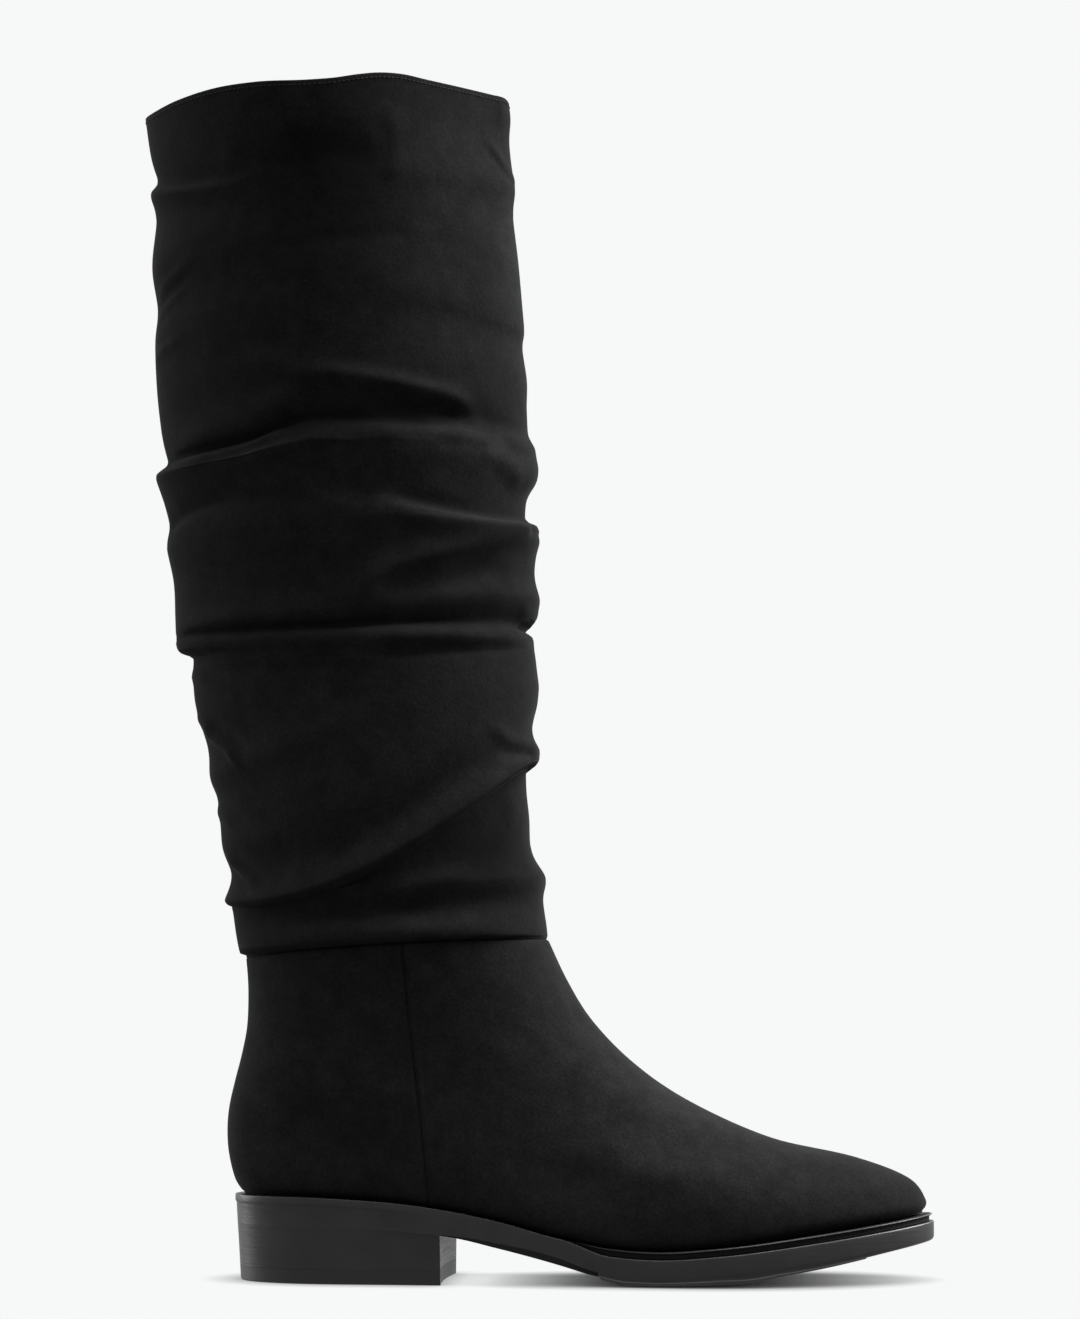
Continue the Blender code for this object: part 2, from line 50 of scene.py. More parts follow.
# Sizes of the solids
GAP = 0.3
SUEDE_WALL = 1.8
WELT_THICKNESS = 2.6
WELT_REACH = 12.0
WELT_SETBACK = 0.7
WELT_START = 106.0
WELT_RUN = 18.0
LIP_HEIGHT = 2.6
LIP_STEP = 0.45
LIP_FADE = (0.0, 45.0)
INSOLE_MARGIN = 4.6
BREAST_OUTER = 41.6
BREAST_INNER = 44.0
BREAST_HOLLOW = 1.4
TOP_LIFT_THICKNESS = 5.5
SEAM_TUCK_GAP = 0.35
TREAD_START = 101.0
TREAD_RIBS = 12
TREAD_PITCH = 8.8
RIB_WIDTH = 6.4
RIB_HEIGHT = 1.3
GROOVE_DEPTH = 0.55
RIB_FLANK = 0.5
TREAD_MARGIN = 1.2
GROOVE_MARGIN = 3.0
TREAD_END = TREAD_START + TREAD_PITCH * (TREAD_RIBS - 1) + RIB_WIDTH
HEEL_TAPER = 0.9
INNER_SIDE_LIFT = 3.5
INNER_SIDE_CALM = 0.8

# Finer detail of the shaft
SHAFT_ROW_STEP = 1.4  # height between the fine rings
SHAFT_COLUMNS = 240
LINING_STEP = 6  # the lining has one ring for this many outer ones
LINING_REACH = 6  # rings over which the lining keeps inside every trough
UNDERSIDE_TILT = -0.6  # upward part of the normal, below which a fold's underside gets the suede without sheen, as painted shade
FOLD_SOFTNESS = 2  # rings below and above that a fold is evened with
CALM_ROWS = 3  # folds at each end over which this and the waves set in
LIFT_ROWS = 4  # and those over which the lift of the inner side does
CREASE_RADIUS = 60.0  # a turn along the shaft's wall, as a length
CREASE_STEPS = 8  # straight steps between two places of a crease
CREASE_FADE = 0.3  # share of a crease over which its ends die out
CREASE_RUNS_ON = (5, 175)  # an end outside these turns does not
CREASE_ROOM = 3  # a slope is over at this many times its reach
WAVE_SIZE = 26.0  # soft unevenness of the suede
WAVE_HEIGHT = 0.35
FRONT_FULLNESS = 0.5  # how far the suede stands proud of the solid at the front
COLLAR_ROUND = 0.5  # how far the turned edge of the collar bulges up
COLLAR_RINGS = 2  # rings that tell which way the wall runs below the collar
STITCH_PITCH = 1.9
STITCH_LENGTH = 1.35
STITCH_RADIUS = 0.24
STITCH_BELOW_EDGE = 1.5
STITCH_SIDES = 6
STITCH_AHEAD = 0.1  # share of a stitch that tells its direction
# Places along a stitch and how wide it is there, as shares
STITCH_FORM = ((-0.5, 0.3), (-0.36, 0.85), (0.0, 1.0), (0.36, 0.85), (0.5, 0.3))

# Finer detail of the foot
FOOT_ROWS = 96
FOOT_BACK_COLUMNS = 70  # columns from the back of the heel to the side seam
FOOT_FRONT_COLUMNS = 130  # and from the seam to the tip of the toe
FOOT_WAVE_HEIGHT = WAVE_HEIGHT / 2
FOOT_CALM = 0.6  # levels at each end over which these waves set in
SWING_FADES_FROM = 2  # level above which the foot leaves the swing of the sole
SEAM_ROUNDS = 4  # rounds in which the seam's turn is found
SEAM_CROWDING = 0.18  # spacing of the columns at the seam, against an even one
SEAM_DEPTH = 0.8
SEAM_WIDTH = 0.5
SEAM_ROLL = 0.22  # the panels roll up a little along the seam
SEAM_ROLL_AT = 1.7
SEAM_ROLL_WIDTH = 1.0
TUCK_DEPTH = 1.4  # the shaft's lower edge hides in the foot, so that no light shows between
SKIRT_DEPTH = 1.2  # and the foot's lower edge in the welt
TURNED_EDGE_SHADE = 0.1  # painted shade: these turned edges, hidden in the seams, are darkened to this tone
FEATHER_TUCK = 0.5  # the suede turns in sharply where it meets the sole
FEATHER_HEIGHT = 1.2
FEATHER_SHADE = (0.9, 0.6)  # painted shade: the suede there is darkened, for the shadow in the gap to the sole, this much at the heel and at the toe
FEATHER_SHADE_HEIGHT = 2.1
RIM_TUCK = 1.0  # the foot's top edge turns in under the shaft
RIM_HEIGHT = 1.4

# Finer detail of the sole and the heel
SOLE_HALF_STEPS = 150
ARC_STEPS = 5
NUDGE = 1e-4  # small turn that tells which way the outline runs
FINE_EDGE = (60.0, 95.0, 0.3, 0.6)  # from and to this x, the rounding of the sole's top edge
LIP_TURN = 0.4  # height over which the lip's lower edge turns in
LIP_TURN_DEPTH = 0.04
ROUNDED_FROM = (88.0, 108.0)  # x over which the flat bevel of the waist becomes a round edge
BEVEL_STEPS = 5
BEVEL_LEAST = 0.4  # height of the bevel where its table has none
RIB_ROOM = 0.25  # share of a step that is kept free beside the corners of a rib
TREAD_THINNING = 0.6  # share that the tread loses towards the toe
TREAD_THINS = (120.0, 166.0)
TREAD_SLOPE = 7.0  # how far in the tread's edge slopes at the ball
TREAD_STEEPENS = (160.0, 190.0)
WELT_STEPS = 300
WELT_TRIMMED = 5  # strips of the welt's section that are its trimmed edge
WELT_SHOWN = 0.85  # share of its run that is built, longer than in the solid
WELT_END_TAPER = 0.1  # share of its width that it loses at the ends
HEEL_HALF_STEPS = 64
HEEL_RINGS = 9
BREAST_STEPS = 16
HEEL_OVERLAP = 0.2  # the block runs up into the sole, so that no light shows between
LIFT_LINE = 0.06  # fine line left between the block and the top lift
# How far in and how high the edge of the sock lies, over the edge of the insole
SOCK_EDGE = ((1.0, 3.0), (0.3, 2.7), (0.0, 2.0), (0.0, 0.0))

# Bend in degrees from which an edge of a piece shows as sharp
FOOT_SHARP, SOLE_SHARP, WELT_SHARP, SOCK_SHARP, HEEL_SHARP = 60, 24, 40, 50, 30


def columns(names, rows):
    """A table as one list for each named column."""
    return {name: [row[i] for row in rows] for i, name in enumerate(names.split())}


LAST = columns("x feather swing", (
    (-45, 32.7, 1.2),
    (0, 32.2, 0.0),
    (35, 29.4, -1.8),
    (65, 23.9, -4.0),
    (85, 18.5, -4.2),
    (105, 14.6, -3.4),
    (125, 13.3, -2.4),
    (145, 14.6, -1.2),
    (185, 19.5, 1.6),
    (235, 26.5, 4.5),
))

UNDERSIDE = columns("x height", (
    (-45, 22.0),
    (0, 21.4),
    (42, 18.7),
    (64, 13.9),
    (88, 7.6),
    (101, 3.9),
    (113, 1.3),
    (152, 1.3),
    (173, 4.9),
    (192, 8.4),
    (211, 12.2),
    (232, 16.0),
))

EDGE_BEVEL = columns("x inset rise", (
    (-45, 0.0, 0.0),
    (44, 0.0, 0.0),
    (56, 2.6, 1.2),
    (82, 4.4, 2.6),
    (102, 1.4, 1.2),
    (120, 1.4, 1.0),
    (140, 2.0, 1.9),
    (156, 2.4, 3.0),
    (176, 2.2, 2.6),
    (197, 1.8, 1.8),
    (214, 1.4, 1.2),
    (235, 1.4, 1.2),
))

# How far the lower edge of the sole lifts off its flat bottom, to both sides of the ball
EDGE_LIFT = columns("x height", (
    (-45, 0.0),
    (96, 0.0),
    (110, 0.7),
    (124, 0.4),
    (138, 0.8),
    (151, 1.5),
    (166, 0.9),
    (182, 0.2),
    (200, 0.0),
    (235, 0.0),
))

SOLE_BACK, SOLE_FRONT = -39.8, 229.5
# At even turns from the back to the tip, as in the foot's table below
SOLE_SPREAD = (62.0, 52.0, 36.8, 35.5, 49.3, 50.5, 45.0)

FOOT_LEVELS = columns("back_x back_z front_x front_z follow arch", (
    (-36.5, 33.0, 225.6, 26.3, 1.00, 0.0),
    (-40.0, 38.5, 226.3, 30.8, 1.00, 0.0),
    (-42.4, 48.0, 219.6, 39.0, 0.97, 0.0),
    (-43.0, 57.0, 199.0, 47.0, 0.90, 0.0),
    (-42.3, 66.0, 167.0, 54.4, 0.78, 0.0),
    (-40.2, 76.0, 136.0, 68.0, 0.60, 0.0),
    (-37.6, 86.5, 114.0, 83.2, 0.40, 0.1),
    (-35.6, 97.5, 98.5, 99.0, 0.20, 0.3),
    (-35.3, 110.7, 88.5, 114.8, 0.07, 0.7),
    (-36.2, 124.0, 80.8, 131.2, 0.00, 1.2),
))

FOOT_SPREAD = columns("level back heel seat waist ball toe tip", (
    (0, 57.0, 48.0, 34.4, 34.2, 45.6, 45.0, 40.0),
    (1, 62.0, 51.0, 37.6, 36.8, 47.6, 48.5, 44.0),
    (3, 61.0, 49.0, 39.2, 34.6, 44.6, 43.0, 40.0),
    (5, 49.0, 45.0, 39.6, 33.8, 36.6, 44.0, 45.0),
    (7, 39.0, 40.0, 38.6, 36.8, 36.4, 37.5, 37.0),
    (9, 38.0, 39.5, 41.0, 41.5, 41.0, 39.5, 38.5),
))

# Seam down the side of the foot
SIDE_SEAM = columns("z x", ((34.3, 37.3), (62.2, 34.3), (95.9, 30.4), (128.6, 27.6)))

SHAFT_TUBE = columns("z back_x front_x spread_back spread_side spread_front", (
    (124, -38.6, 80.0, 38.0, 43.0, 40.0),
    (150, -43.0, 78.0, 38.0, 45.0, 41.0),
    (180, -47.6, 74.6, 38.0, 47.0, 42.0),
    (212, -54.0, 74.6, 38.5, 49.0, 42.0),
    (244, -60.6, 75.4, 39.0, 51.0, 42.0),
    (290, -67.2, 75.0, 40.0, 53.0, 41.0),
    (320, -70.0, 73.6, 41.0, 54.5, 40.0),
    (360, -73.2, 71.6, 42.0, 56.5, 38.0),
    (410, -74.8, 68.0, 44.0, 59.0, 33.0),
    (462, -78.6, 65.4, 46.0, 62.0, 27.0),
))

SLOUCH = columns("fold back side front out_back out_side out_front", (
    ("seam_tuck", 124.0, 128.8, 131.2, -2.4, -2.6, 0.9),
    ("seam_roll", 127.4, 131.4, 133.4, -0.5, 0.4, 1.2),
    ("base_roll", 133.0, 136.2, 138.0, 0.2, 1.6, 0.9),
    ("base_trough", 140.6, 143.2, 146.0, 0.0, -2.2, 0.3),
    ("low_ridge", 142.0, 147.6, 153.4, 0.2, -0.6, 2.5),
    ("low_rest", 143.2, 152.0, 166.0, 0.0, -1.2, -2.3),
    ("slant_under", 144.2, 156.2, 194.4, -1.0, -2.6, -2.3),
    ("slant_lip", 146.6, 160.2, 200.4, 2.7, 3.2, 3.2),
    ("slant_trough", 156.4, 172.0, 212.4, -2.0, -1.5, -0.2),
    ("calf_low", 167.0, 187.0, 222.0, 0.4, 0.4, 1.7),
    ("calf_wave", 183.6, 202.0, 228.0, -0.8, 0.2, 2.1),
    ("calf_swell", 192.6, 212.0, 232.0, 0.9, 0.8, 1.6),
    ("calf_high", 204.0, 221.0, 235.6, -0.8, 0.2, 1.1),
    ("band_low", 222.0, 231.0, 239.0, 0.9, 0.0, 0.7),
    ("band_under", 240.0, 237.0, 242.4, -2.2, -1.6, 0.2),
    ("band_lip", 241.9, 240.4, 244.4, 3.2, 1.8, 0.0),
    ("band_top", 244.6, 244.4, 246.8, 3.8, 2.7, -0.2),
    ("band_crease", 247.4, 247.8, 249.4, 3.4, -2.6, -2.1),
    ("roll_low", 258.0, 257.0, 260.4, 2.2, 1.4, 2.2),
    ("roll_middle", 270.0, 271.0, 272.4, 1.2, 0.6, -0.2),
    ("shelf_ridge", 283.0, 290.0, 290.6, 2.2, 1.3, 2.2),
    ("shelf_crease", 290.0, 296.6, 294.6, 0.1, -0.9, -3.3),
    ("knee_low", 302.0, 305.0, 302.4, 1.9, 0.2, -2.4),
    ("knee_roll", 310.6, 315.0, 313.8, 3.9, 2.4, 3.2),
    ("knee_lip", 314.6, 323.2, 321.0, 2.0, 3.0, 1.6),
    ("knee_crease", 316.9, 326.9, 326.0, -1.7, -3.6, -0.4),
    ("knee_above", 326.8, 337.0, 337.0, 0.0, 1.6, -0.5),
    ("thigh_low", 343.0, 352.0, 348.0, 0.7, 0.8, 0.1),
    ("thigh_wave", 364.0, 369.0, 361.4, 0.4, 0.0, -0.9),
    ("thigh_middle", 376.6, 381.0, 370.0, -1.0, -0.3, 0.5),
    ("thigh_swell", 394.0, 397.0, 394.0, 0.9, -0.8, 0.2),
    ("thigh_high", 413.8, 414.0, 414.6, -1.4, -1.2, -0.8),
    ("top_ridge", 423.2, 424.0, 425.0, 0.4, -1.2, 0.7),
    ("top_crease", 429.8, 431.0, 433.0, -2.1, -1.4, -0.2),
    ("top_rest", 440.0, 442.0, 444.0, -0.6, -0.6, -0.8),
    ("collar", 454.0, 457.6, 461.2, 0.4, 0.0, -0.2),
))

# Where a fold of the slouch leaves its even course: over how many folds that fades, and how
# far it is pushed up or down at places round the shaft, as (turn in degrees, shift)
COURSES = (
    ("band_crease", 1.3, ((0, 0.0), (60, 0.0), (110, 1.4), (150, 2.6), (180, 1.2))),
    ("shelf_crease", 1.0, ((0, 1.0), (41, 3.0), (63, 2.0), (104, 0.0), (135, -3.6), (180, -1.0))),
    ("knee_crease", 1.5,
     ((0, 0.0), (23, -2.0), (45, -3.6), (61, -3.8), (73, -0.9), (84, 1.0), (94, -0.6),
      (106, 0.6), (115, -0.4), (130, 1.6), (147, 1.4), (180, 0.0))),
    ("seam_roll", 0.6, ((0, -2.8), (90, -2.2), (180, -1.8))),
    ("base_roll", 0.6, ((0, -0.5), (60, -2.0), (120, -2.0), (180, -0.5))),
    ("base_trough", 0.7, ((0, 0.0), (40, -2.6), (90, -2.4), (130, -1.0), (180, 0.0))),
    ("slant_lip", 1.6,
     ((0, -2.2), (20, -2.2), (38, -3.2), (90, -3.6), (115, -1.8), (150, -0.4), (180, -1.8))),
    ("slant_under", 0.6, ((0, 0.0), (70, 0.0), (100, 1.2), (140, 2.4), (180, 2.4))),
    ("knee_lip", 0.7, ((0, -0.6), (40, -4.2), (80, -4.6), (120, -3.5), (150, -2.0), (180, -0.6))),
    ("top_crease", 1.6, ((0, 0.0), (21, -3.0), (49, -7.0), (67, -7.0), (90, -4.0), (180, 0.0))),
    ("collar", 1.0,
     ((0, 0.0), (24, -0.8), (40, 0.1), (60, 0.4), (72, -0.4), (90, -1.9), (97, -1.4), (104, 0.1),
      (110, 1.2), (118, 1.5), (126, 0.6), (140, -0.3), (157, -0.8), (168, -0.8), (180, -2.0))),
)

# Creases and small ridges: height (below zero for a trough), how far the slopes reach to
# the right and left of its course, and the course as (turn in degrees, height above floor)
CREASES = (
    ("top_back", -0.7, 2.6, 4.0, ((0, 429), (21, 425), (49, 421), (74, 420))),
    ("top_back_lip", 0.5, 3.5, 1.6, ((0, 426), (21, 421.5), (49, 417.5), (72, 417))),
    ("top_pleat", 0.5, 3.5, 3.5, ((62, 440), (61, 430), (59, 420))),
    ("top_hollow", -1.6, 8.0, 9.0, ((74, 427), (92, 428), (110, 431))),
    ("top_hollow_edge", 0.9, 4.0, 2.6, ((112, 414), (114, 432), (114, 450))),
    ("thigh_band", -0.6, 4.0, 4.0, ((84, 393), (102, 396), (122, 401))),
    ("front_pinch", -0.4, 1.9, 2.2, ((146, 440), (156, 434.5), (163, 431), (174, 428))),
    ("front_pinch_ridge", 0.5, 1.9, 2.6, ((150, 443), (159, 437), (166, 431.5), (176, 429))),
    ("back_pleat_high", 0.45, 2.2, 2.4, ((12, 380), (24, 384), (35, 388), (46, 393))),
    ("back_pleat_gap", -0.3, 2.0, 2.0, ((14, 376), (30, 381), (42, 386))),
    ("back_pleat_low", 0.4, 2.2, 2.4, ((10, 370), (26, 376.5), (42, 382.5))),
    ("back_pleat_last", 0.6, 2.2, 2.2, ((8, 355), (22, 359), (38, 362))),
    ("knee_pocket_ridge", 2.1, 3.2, 3.6,
     ((74, 346), (87, 343.6), (101, 341.7), (116, 339), (131, 335), (139, 329))),
    ("knee_pocket", -2.2, 3.0, 3.4, ((104, 332), (114, 331), (126, 331), (138, 328.5))),
    ("knee_filling", 3.0, 1.8, 7.0, ((12, 318.2), (40, 319.8), (61, 322.2), (73, 326.8), (86, 330.5))),
    ("knee_groove", 3.0, 2.6, 1.5, ((12, 313.8), (40, 315), (60, 317.3), (72, 321.2), (85, 324))),
    ("knee_rim", 1.6, 3.0, 1.9, ((76, 321.5), (88, 323.2), (105, 322.8), (130, 322.8), (150, 321))),
    ("knee_line", -1.4, 0.9, 0.9,
     ((10, 316), (40, 317), (61, 319.6), (73, 324.2), (84, 327.4), (106, 327), (140, 326))),
    ("knee_flat", -0.5, 7.0, 8.0, ((24, 330), (60, 337), (90, 342))),
    ("knee_pleat", 0.9, 4.0, 4.5, ((60, 350), (78, 344.5), (90, 338.5))),
    ("knee_pleat_gap", -0.7, 4.0, 4.0, ((56, 357), (82, 355))),
    ("knee_underlip", 1.0, 2.6, 3.0, ((45, 312), (62, 311), (76, 315), (86, 318.5), (100, 322))),
    ("knee_slant", 1.2, 3.0, 3.0, ((70, 311), (78, 303), (83, 297.5), (98, 293))),
    ("front_bulge", 0.6, 3.0, 4.5, ((134, 319), (149, 312), (164, 303))),
    ("shelf_back", -1.3, 1.7, 4.5, ((9, 289.5), (21, 291.5), (41, 296), (66, 297.5))),
    ("shelf_front", 1.7, 6.0, 3.6, ((98, 297), (106, 293.5), (119, 289.5), (140, 288), (176, 289))),
    ("shelf_shade", -1.1, 2.0, 5.0, ((104, 299), (118, 295.5), (140, 292))),
    ("sickle", 2.6, 2.6, 5.0,
     ((90, 252), (96, 260), (101, 266.5), (109, 271.5), (120, 275.5), (138, 281), (172, 287))),
    ("sickle_hollow", -2.2, 6.0, 5.0, ((100, 257), (112, 263), (128, 268), (152, 277))),
    ("band_line", -1.2, 0.9, 0.9, ((2, 247.4), (50, 247.6), (90, 248.2), (120, 250), (150, 251.4))),
    ("band_above", 2.6, 1.7, 5.5, ((10, 250.4), (50, 250.6), (84, 251), (108, 252.5))),
    ("band_filling", 2.6, 3.2, 2.6, ((14, 238.5), (50, 237), (86, 236.5), (108, 236.5))),
    ("band_underlip", 1.0, 2.2, 3.0, ((90, 241), (115, 244.5), (140, 245), (172, 245.5))),
    ("band_shade", -0.5, 3.4, 2.0, ((100, 239), (120, 239.8), (138, 240.3))),
    ("slant_hollow", -1.1, 5.0, 5.0, ((66, 164), (90, 171), (110, 182), (130, 194), (150, 205))),
    ("calf_pleat", 1.9, 2.3, 2.3, ((8, 214), (22, 208), (33, 203), (42, 193))),
    ("calf_pleat_gap", -0.7, 2.2, 2.2, ((20, 214), (36, 208), (48, 197))),
    ("low_pleat", 1.8, 2.0, 2.0, ((10, 163), (23, 158), (34, 153.5), (44, 149.5))),
    ("slant_pinch", -1.7, 1.5, 2.2, ((142, 200.4), (158, 201), (172, 201.8))),
    ("slant_pinch_ridge", 1.1, 2.2, 3.4, ((134, 212), (147, 207), (161, 205), (180, 203.5))),
    ("slant_edge", 1.1, 3.0, 6.0,
     ((36, 146.5), (69, 149.5), (82, 154), (99, 163), (118, 175), (139, 188), (164, 199))),
    ("slant_shade", -0.5, 4.5, 2.0,
     ((56, 141.5), (82, 146.5), (99, 155), (118, 167), (139, 180), (160, 191))),
    ("base_shade", -1.5, 3.4, 4.2, ((22, 139.5), (50, 139.5), (80, 140), (104, 140.5), (130, 141))),
    ("seam_lip", 1.5, 3.0, 4.0, ((8, 125), (30, 125.6), (60, 127.4), (90, 129.5), (120, 131), (172, 131.8))),
    ("base_pleat", 0.8, 2.6, 3.2, ((88, 145), (108, 152), (130, 155))),
    ("collar_front", 0.6, 5.0, 5.0, ((158, 454), (180, 453))),
    ("knee_front", 1.3, 3.5, 3.5, ((148, 321.5), (180, 322.5))),
    ("knee_front_low", 1.0, 4.0, 4.0, ((150, 309), (180, 308))),
    ("shelf_front_end", -1.6, 2.6, 2.6, ((160, 289), (180, 288.4))),
    ("band_front", 1.0, 3.0, 3.0, ((156, 255.5), (180, 254.6))),
    ("band_notch", -2.0, 1.3, 1.3, ((156, 250), (180, 249.4))),
    ("low_front", 0.8, 8.0, 8.0, ((146, 180), (180, 177))),
    ("back_bump_high", 0.7, 2.2, 2.6, ((0, 232.5), (16, 231.5), (32, 229))),
    ("back_bump", 0.7, 2.2, 2.4, ((0, 215.5), (14, 214), (26, 211))),
    ("back_bump_low", 0.9, 2.6, 3.0, ((0, 179.5), (16, 178), (34, 173))),
)

# Where the suede's colour is made darker or lighter: partly the nap's own uneven tone, and partly painted
# light and shade,
# # lighter where light falls on the front, the lower shaft and the vamp, with a painted highlight along the
# lit front rim,
# # and darker in hollows. The middle of the patch across and in height, its reach both ways and its change
# of tone.
# # Across is a turn in degrees on the shaft, x on the foot.
SHAFT_NAP_AND_LIGHT = (
    ("top_dark", 92, 427, 20, 13, -0.55),
    ("top_dark_low", 96, 402, 16, 16, -0.25),
    ("top_light", 144, 432, 24, 28, 0.7),
    ("thigh_light", 140, 372, 24, 26, 0.2),
    ("thigh_rim_light", 165, 388, 12, 40, 0.9),
    ("thigh_back_dark", 34, 395, 22, 60, -0.25),
    ("knee_light", 90, 305, 20, 14, 0.2),
    ("knee_band_light", 136, 311, 22, 10, 1.2),
    ("knee_front_light", 157, 308, 12, 9, 0.9),
    ("calf_light", 95, 205, 70, 34, 0.45),
    ("calf_low_light", 80, 165, 60, 16, 0.2),
    ("low_dark", 138, 163, 24, 16, -0.75),
    ("base_light", 95, 135, 80, 8, 0.3),
)
FOOT_NAP_AND_LIGHT = (
    ("foot", 20, 70, 160, 160, 0.35),
    ("vamp", 110, 50, 45, 30, 0.8),
    ("toe", 190, 30, 40, 20, 0.3),
    ("heel_counter", -30, 60, 24, 30, 0.15),
    ("counter_dark", -10, 71, 12, 9, -0.3),
    ("counter_dark_low", 13, 60, 14, 9, -0.25),
    ("instep_light", 74, 84, 26, 24, 0.25),
)

HEEL_SIDE = columns("share inset", ((0.0, HEEL_TAPER), (0.5, 1.5), (1.0, 2.0)))
# Height and inset of the top lift's side, then inset and depth round the welt's section
TOP_LIFT_SIDE = ((TOP_LIFT_THICKNESS, 2.0), (0.6, 2.3), (0.0, 2.8))
WELT_EDGE = (
    (WELT_REACH, 0.0),
    (WELT_SETBACK + 0.6, 0.0),
    (WELT_SETBACK + 0.18, 0.1),
    (WELT_SETBACK, 0.3),
    (WELT_SETBACK, 0.5),
    (WELT_SETBACK + 0.2, 0.65),
    (WELT_SETBACK + 0.9, 1.0),
    (WELT_SETBACK + 1.1, 1.6),
    (WELT_SETBACK + 1.0, WELT_THICKNESS),
    (WELT_REACH, WELT_THICKNESS),
)


# Curves

def curve(xs, ys, steady=False):
    """A smooth cubic through the points, for arrays too. A steady one never overshoots them."""
    xs, ys = np.array(xs, float), np.array(ys, float)
    spans = np.diff(xs)
    rises = np.diff(ys) / spans
    before, after = rises[:-1], rises[1:]
    if steady:
        turning = before * after <= 0
        total = np.where(turning, 1.0, before + after)
        inner = np.where(turning, 0.0, 2 * before * after / total)
    else:
        inner = (spans[1:] * before + spans[:-1] * after) / (spans[1:] + spans[:-1])
    slopes = np.concatenate((rises[:1], inner, rises[-1:]))

    def value(x):
        i = np.clip(np.searchsorted(xs, x, side="right") - 1, 0, len(xs) - 2)
        span = spans[i]
        t = np.clip((x - xs[i]) / span, 0.0, 1.0)
        start = (1 + 2 * t) * (1 - t) ** 2 * ys[i] + t * (1 - t) ** 2 * span * slopes[i]
        end = t * t * (3 - 2 * t) * ys[i + 1] + t * t * (t - 1) * span * slopes[i + 1]
        return start + end

    return value


def curves(table, steady=False):
    """A curve for each column of a table, over its first column."""
    (_, places), *others = table.items()
    return {name: curve(places, values, steady) for name, values in others}


def even_curve(values):
    """A curve over the turn from back (0) to front (pi), level at both ends."""
    step = math.pi / (len(values) - 1)
    turns = [step * i for i in range(-1, len(values) + 1)]
    return curve(turns, [values[1], *values, values[-2]])


def smooth_step(low, high, x):
    t = np.clip((x - low) / (high - low), 0.0, 1.0)
    return t * t * (3 - 2 * t)


def fold_turn(turns):
    """Turns from pi to two pi lie on the inner side and mirror those of the outer."""
    turns = np.mod(turns, 2 * math.pi)
    return np.where(turns <= math.pi, turns, 2 * math.pi - turns)


def both_sides(half):
    """Turns of the outer side from back to front, followed by those of the inner side."""
    return np.concatenate((half, 2 * math.pi - half[-2:0:-1]))


def hump(distance, reach):
    """1 in the middle, dying out smoothly over about twice the reach."""
    return np.exp(-((distance / reach) ** 2))


def unit(vectors):
    return vectors / np.linalg.norm(vectors, axis=-1, keepdims=True)


def outward(along):
    """Level directions out of an outline that runs along the ones given."""
    return unit(np.stack((along[:, 1], -along[:, 0]), axis=1))


feather_line, swing_line = curves(LAST).values()
bevel_inset, bevel_rise = curves(EDGE_BEVEL, steady=True).values()
underside_line = curves(UNDERSIDE, steady=True)["height"]
edge_lift = curves(EDGE_LIFT, steady=True)["height"]
seam_line = curves(SIDE_SEAM)["x"]
sole_spread = even_curve(SOLE_SPREAD)


# Meshes

def ring_quads(rings, across, closed):
    """Quads of rings of points, listed ring after ring; closed joins the last to the first."""
    last = rings if closed else rings - 1
    ring = np.repeat(np.arange(last), across)
    place = np.tile(np.arange(across), last)
    ahead, above = (place + 1) % across, (ring + 1) % rings
    corners = (
        ring * across + place,
        ring * across + ahead,
        above * across + ahead,
        above * across + place,
    )
    return np.stack(corners, axis=1)


def add_object(name, data):
    made = bpy.data.objects.new(name, data)
    bpy.context.scene.collection.objects.link(made)
    return made


def new_piece(name, points, faces, materials, sharp_degrees=None, face_materials=None):
    mesh = bpy.data.meshes.new(name)
    mesh.from_pydata((np.asarray(points) * MM).tolist(), [], [list(map(int, f)) for f in faces])
    mesh.validate()
    mesh.shade_smooth()
    if sharp_degrees:
        mesh.set_sharp_from_angle(angle=math.radians(sharp_degrees))
    for material in materials:
        mesh.materials.append(material)
    if face_materials is not None:
        mesh.polygons.foreach_set("material_index", face_materials)
    return add_object(name, mesh)


def stack_piece(name, rings, strips, materials, sharp_degrees, second=None):
    """A closed solid from rings listed from the top down, capped at both ends in strips.

    second tells which faces of its side, ring by ring, have the second material; the
    bottom then has it too.
    """
    count, across = len(rings), len(rings[0])
    faces = [f[::-1] for f in ring_quads(count, across, closed=False)]
    for base, up in ((0, True), ((count - 1) * across, False)):
        tip = [0, 1, across - 1]
        bands = [[i, i + 1, across - i - 1, across - i] for i in range(1, strips)]
        rest = list(range(strips, across - strips + 1))
        for corners in [tip, *bands, rest]:
            placed = [base + c for c in corners]
            faces.append(placed if up else placed[::-1])
    points = np.concatenate([np.asarray(r) for r in rings])
    chosen = None
    if second is not None:
        capped = (len(faces) - second.size) // 2
        chosen = np.concatenate((second.ravel(), np.zeros(capped), np.ones(capped))).astype(int)
    return new_piece(name, points, faces, materials, sharp_degrees, chosen)


def soft_waves(points, size, height):
    """Smooth unevenness, the same on every run."""
    values = [noise.noise(Vector(p) / size) for p in points.reshape(-1, 3)]
    return height * np.array(values).reshape(points.shape[:-1])


def grid_normals(points):
    """Outward directions of closed rings listed from the bottom up."""
    along = np.roll(points, -1, axis=1) - np.roll(points, 1, axis=1)
    up = np.gradient(points, axis=0)
    return unit(np.cross(along, up))


def nap_and_light_tone(table, at, z):
    """How light the suede's colour is made, about 1, at places across and heights: the nap's own tone with
    painted light and shade.
    """
    tone = np.ones(np.broadcast(at, z).shape)
    for _, middle, height, reach, z_reach, change in table:
        tone += change * hump(at - middle, reach) * hump(z - height, z_reach)
    return tone


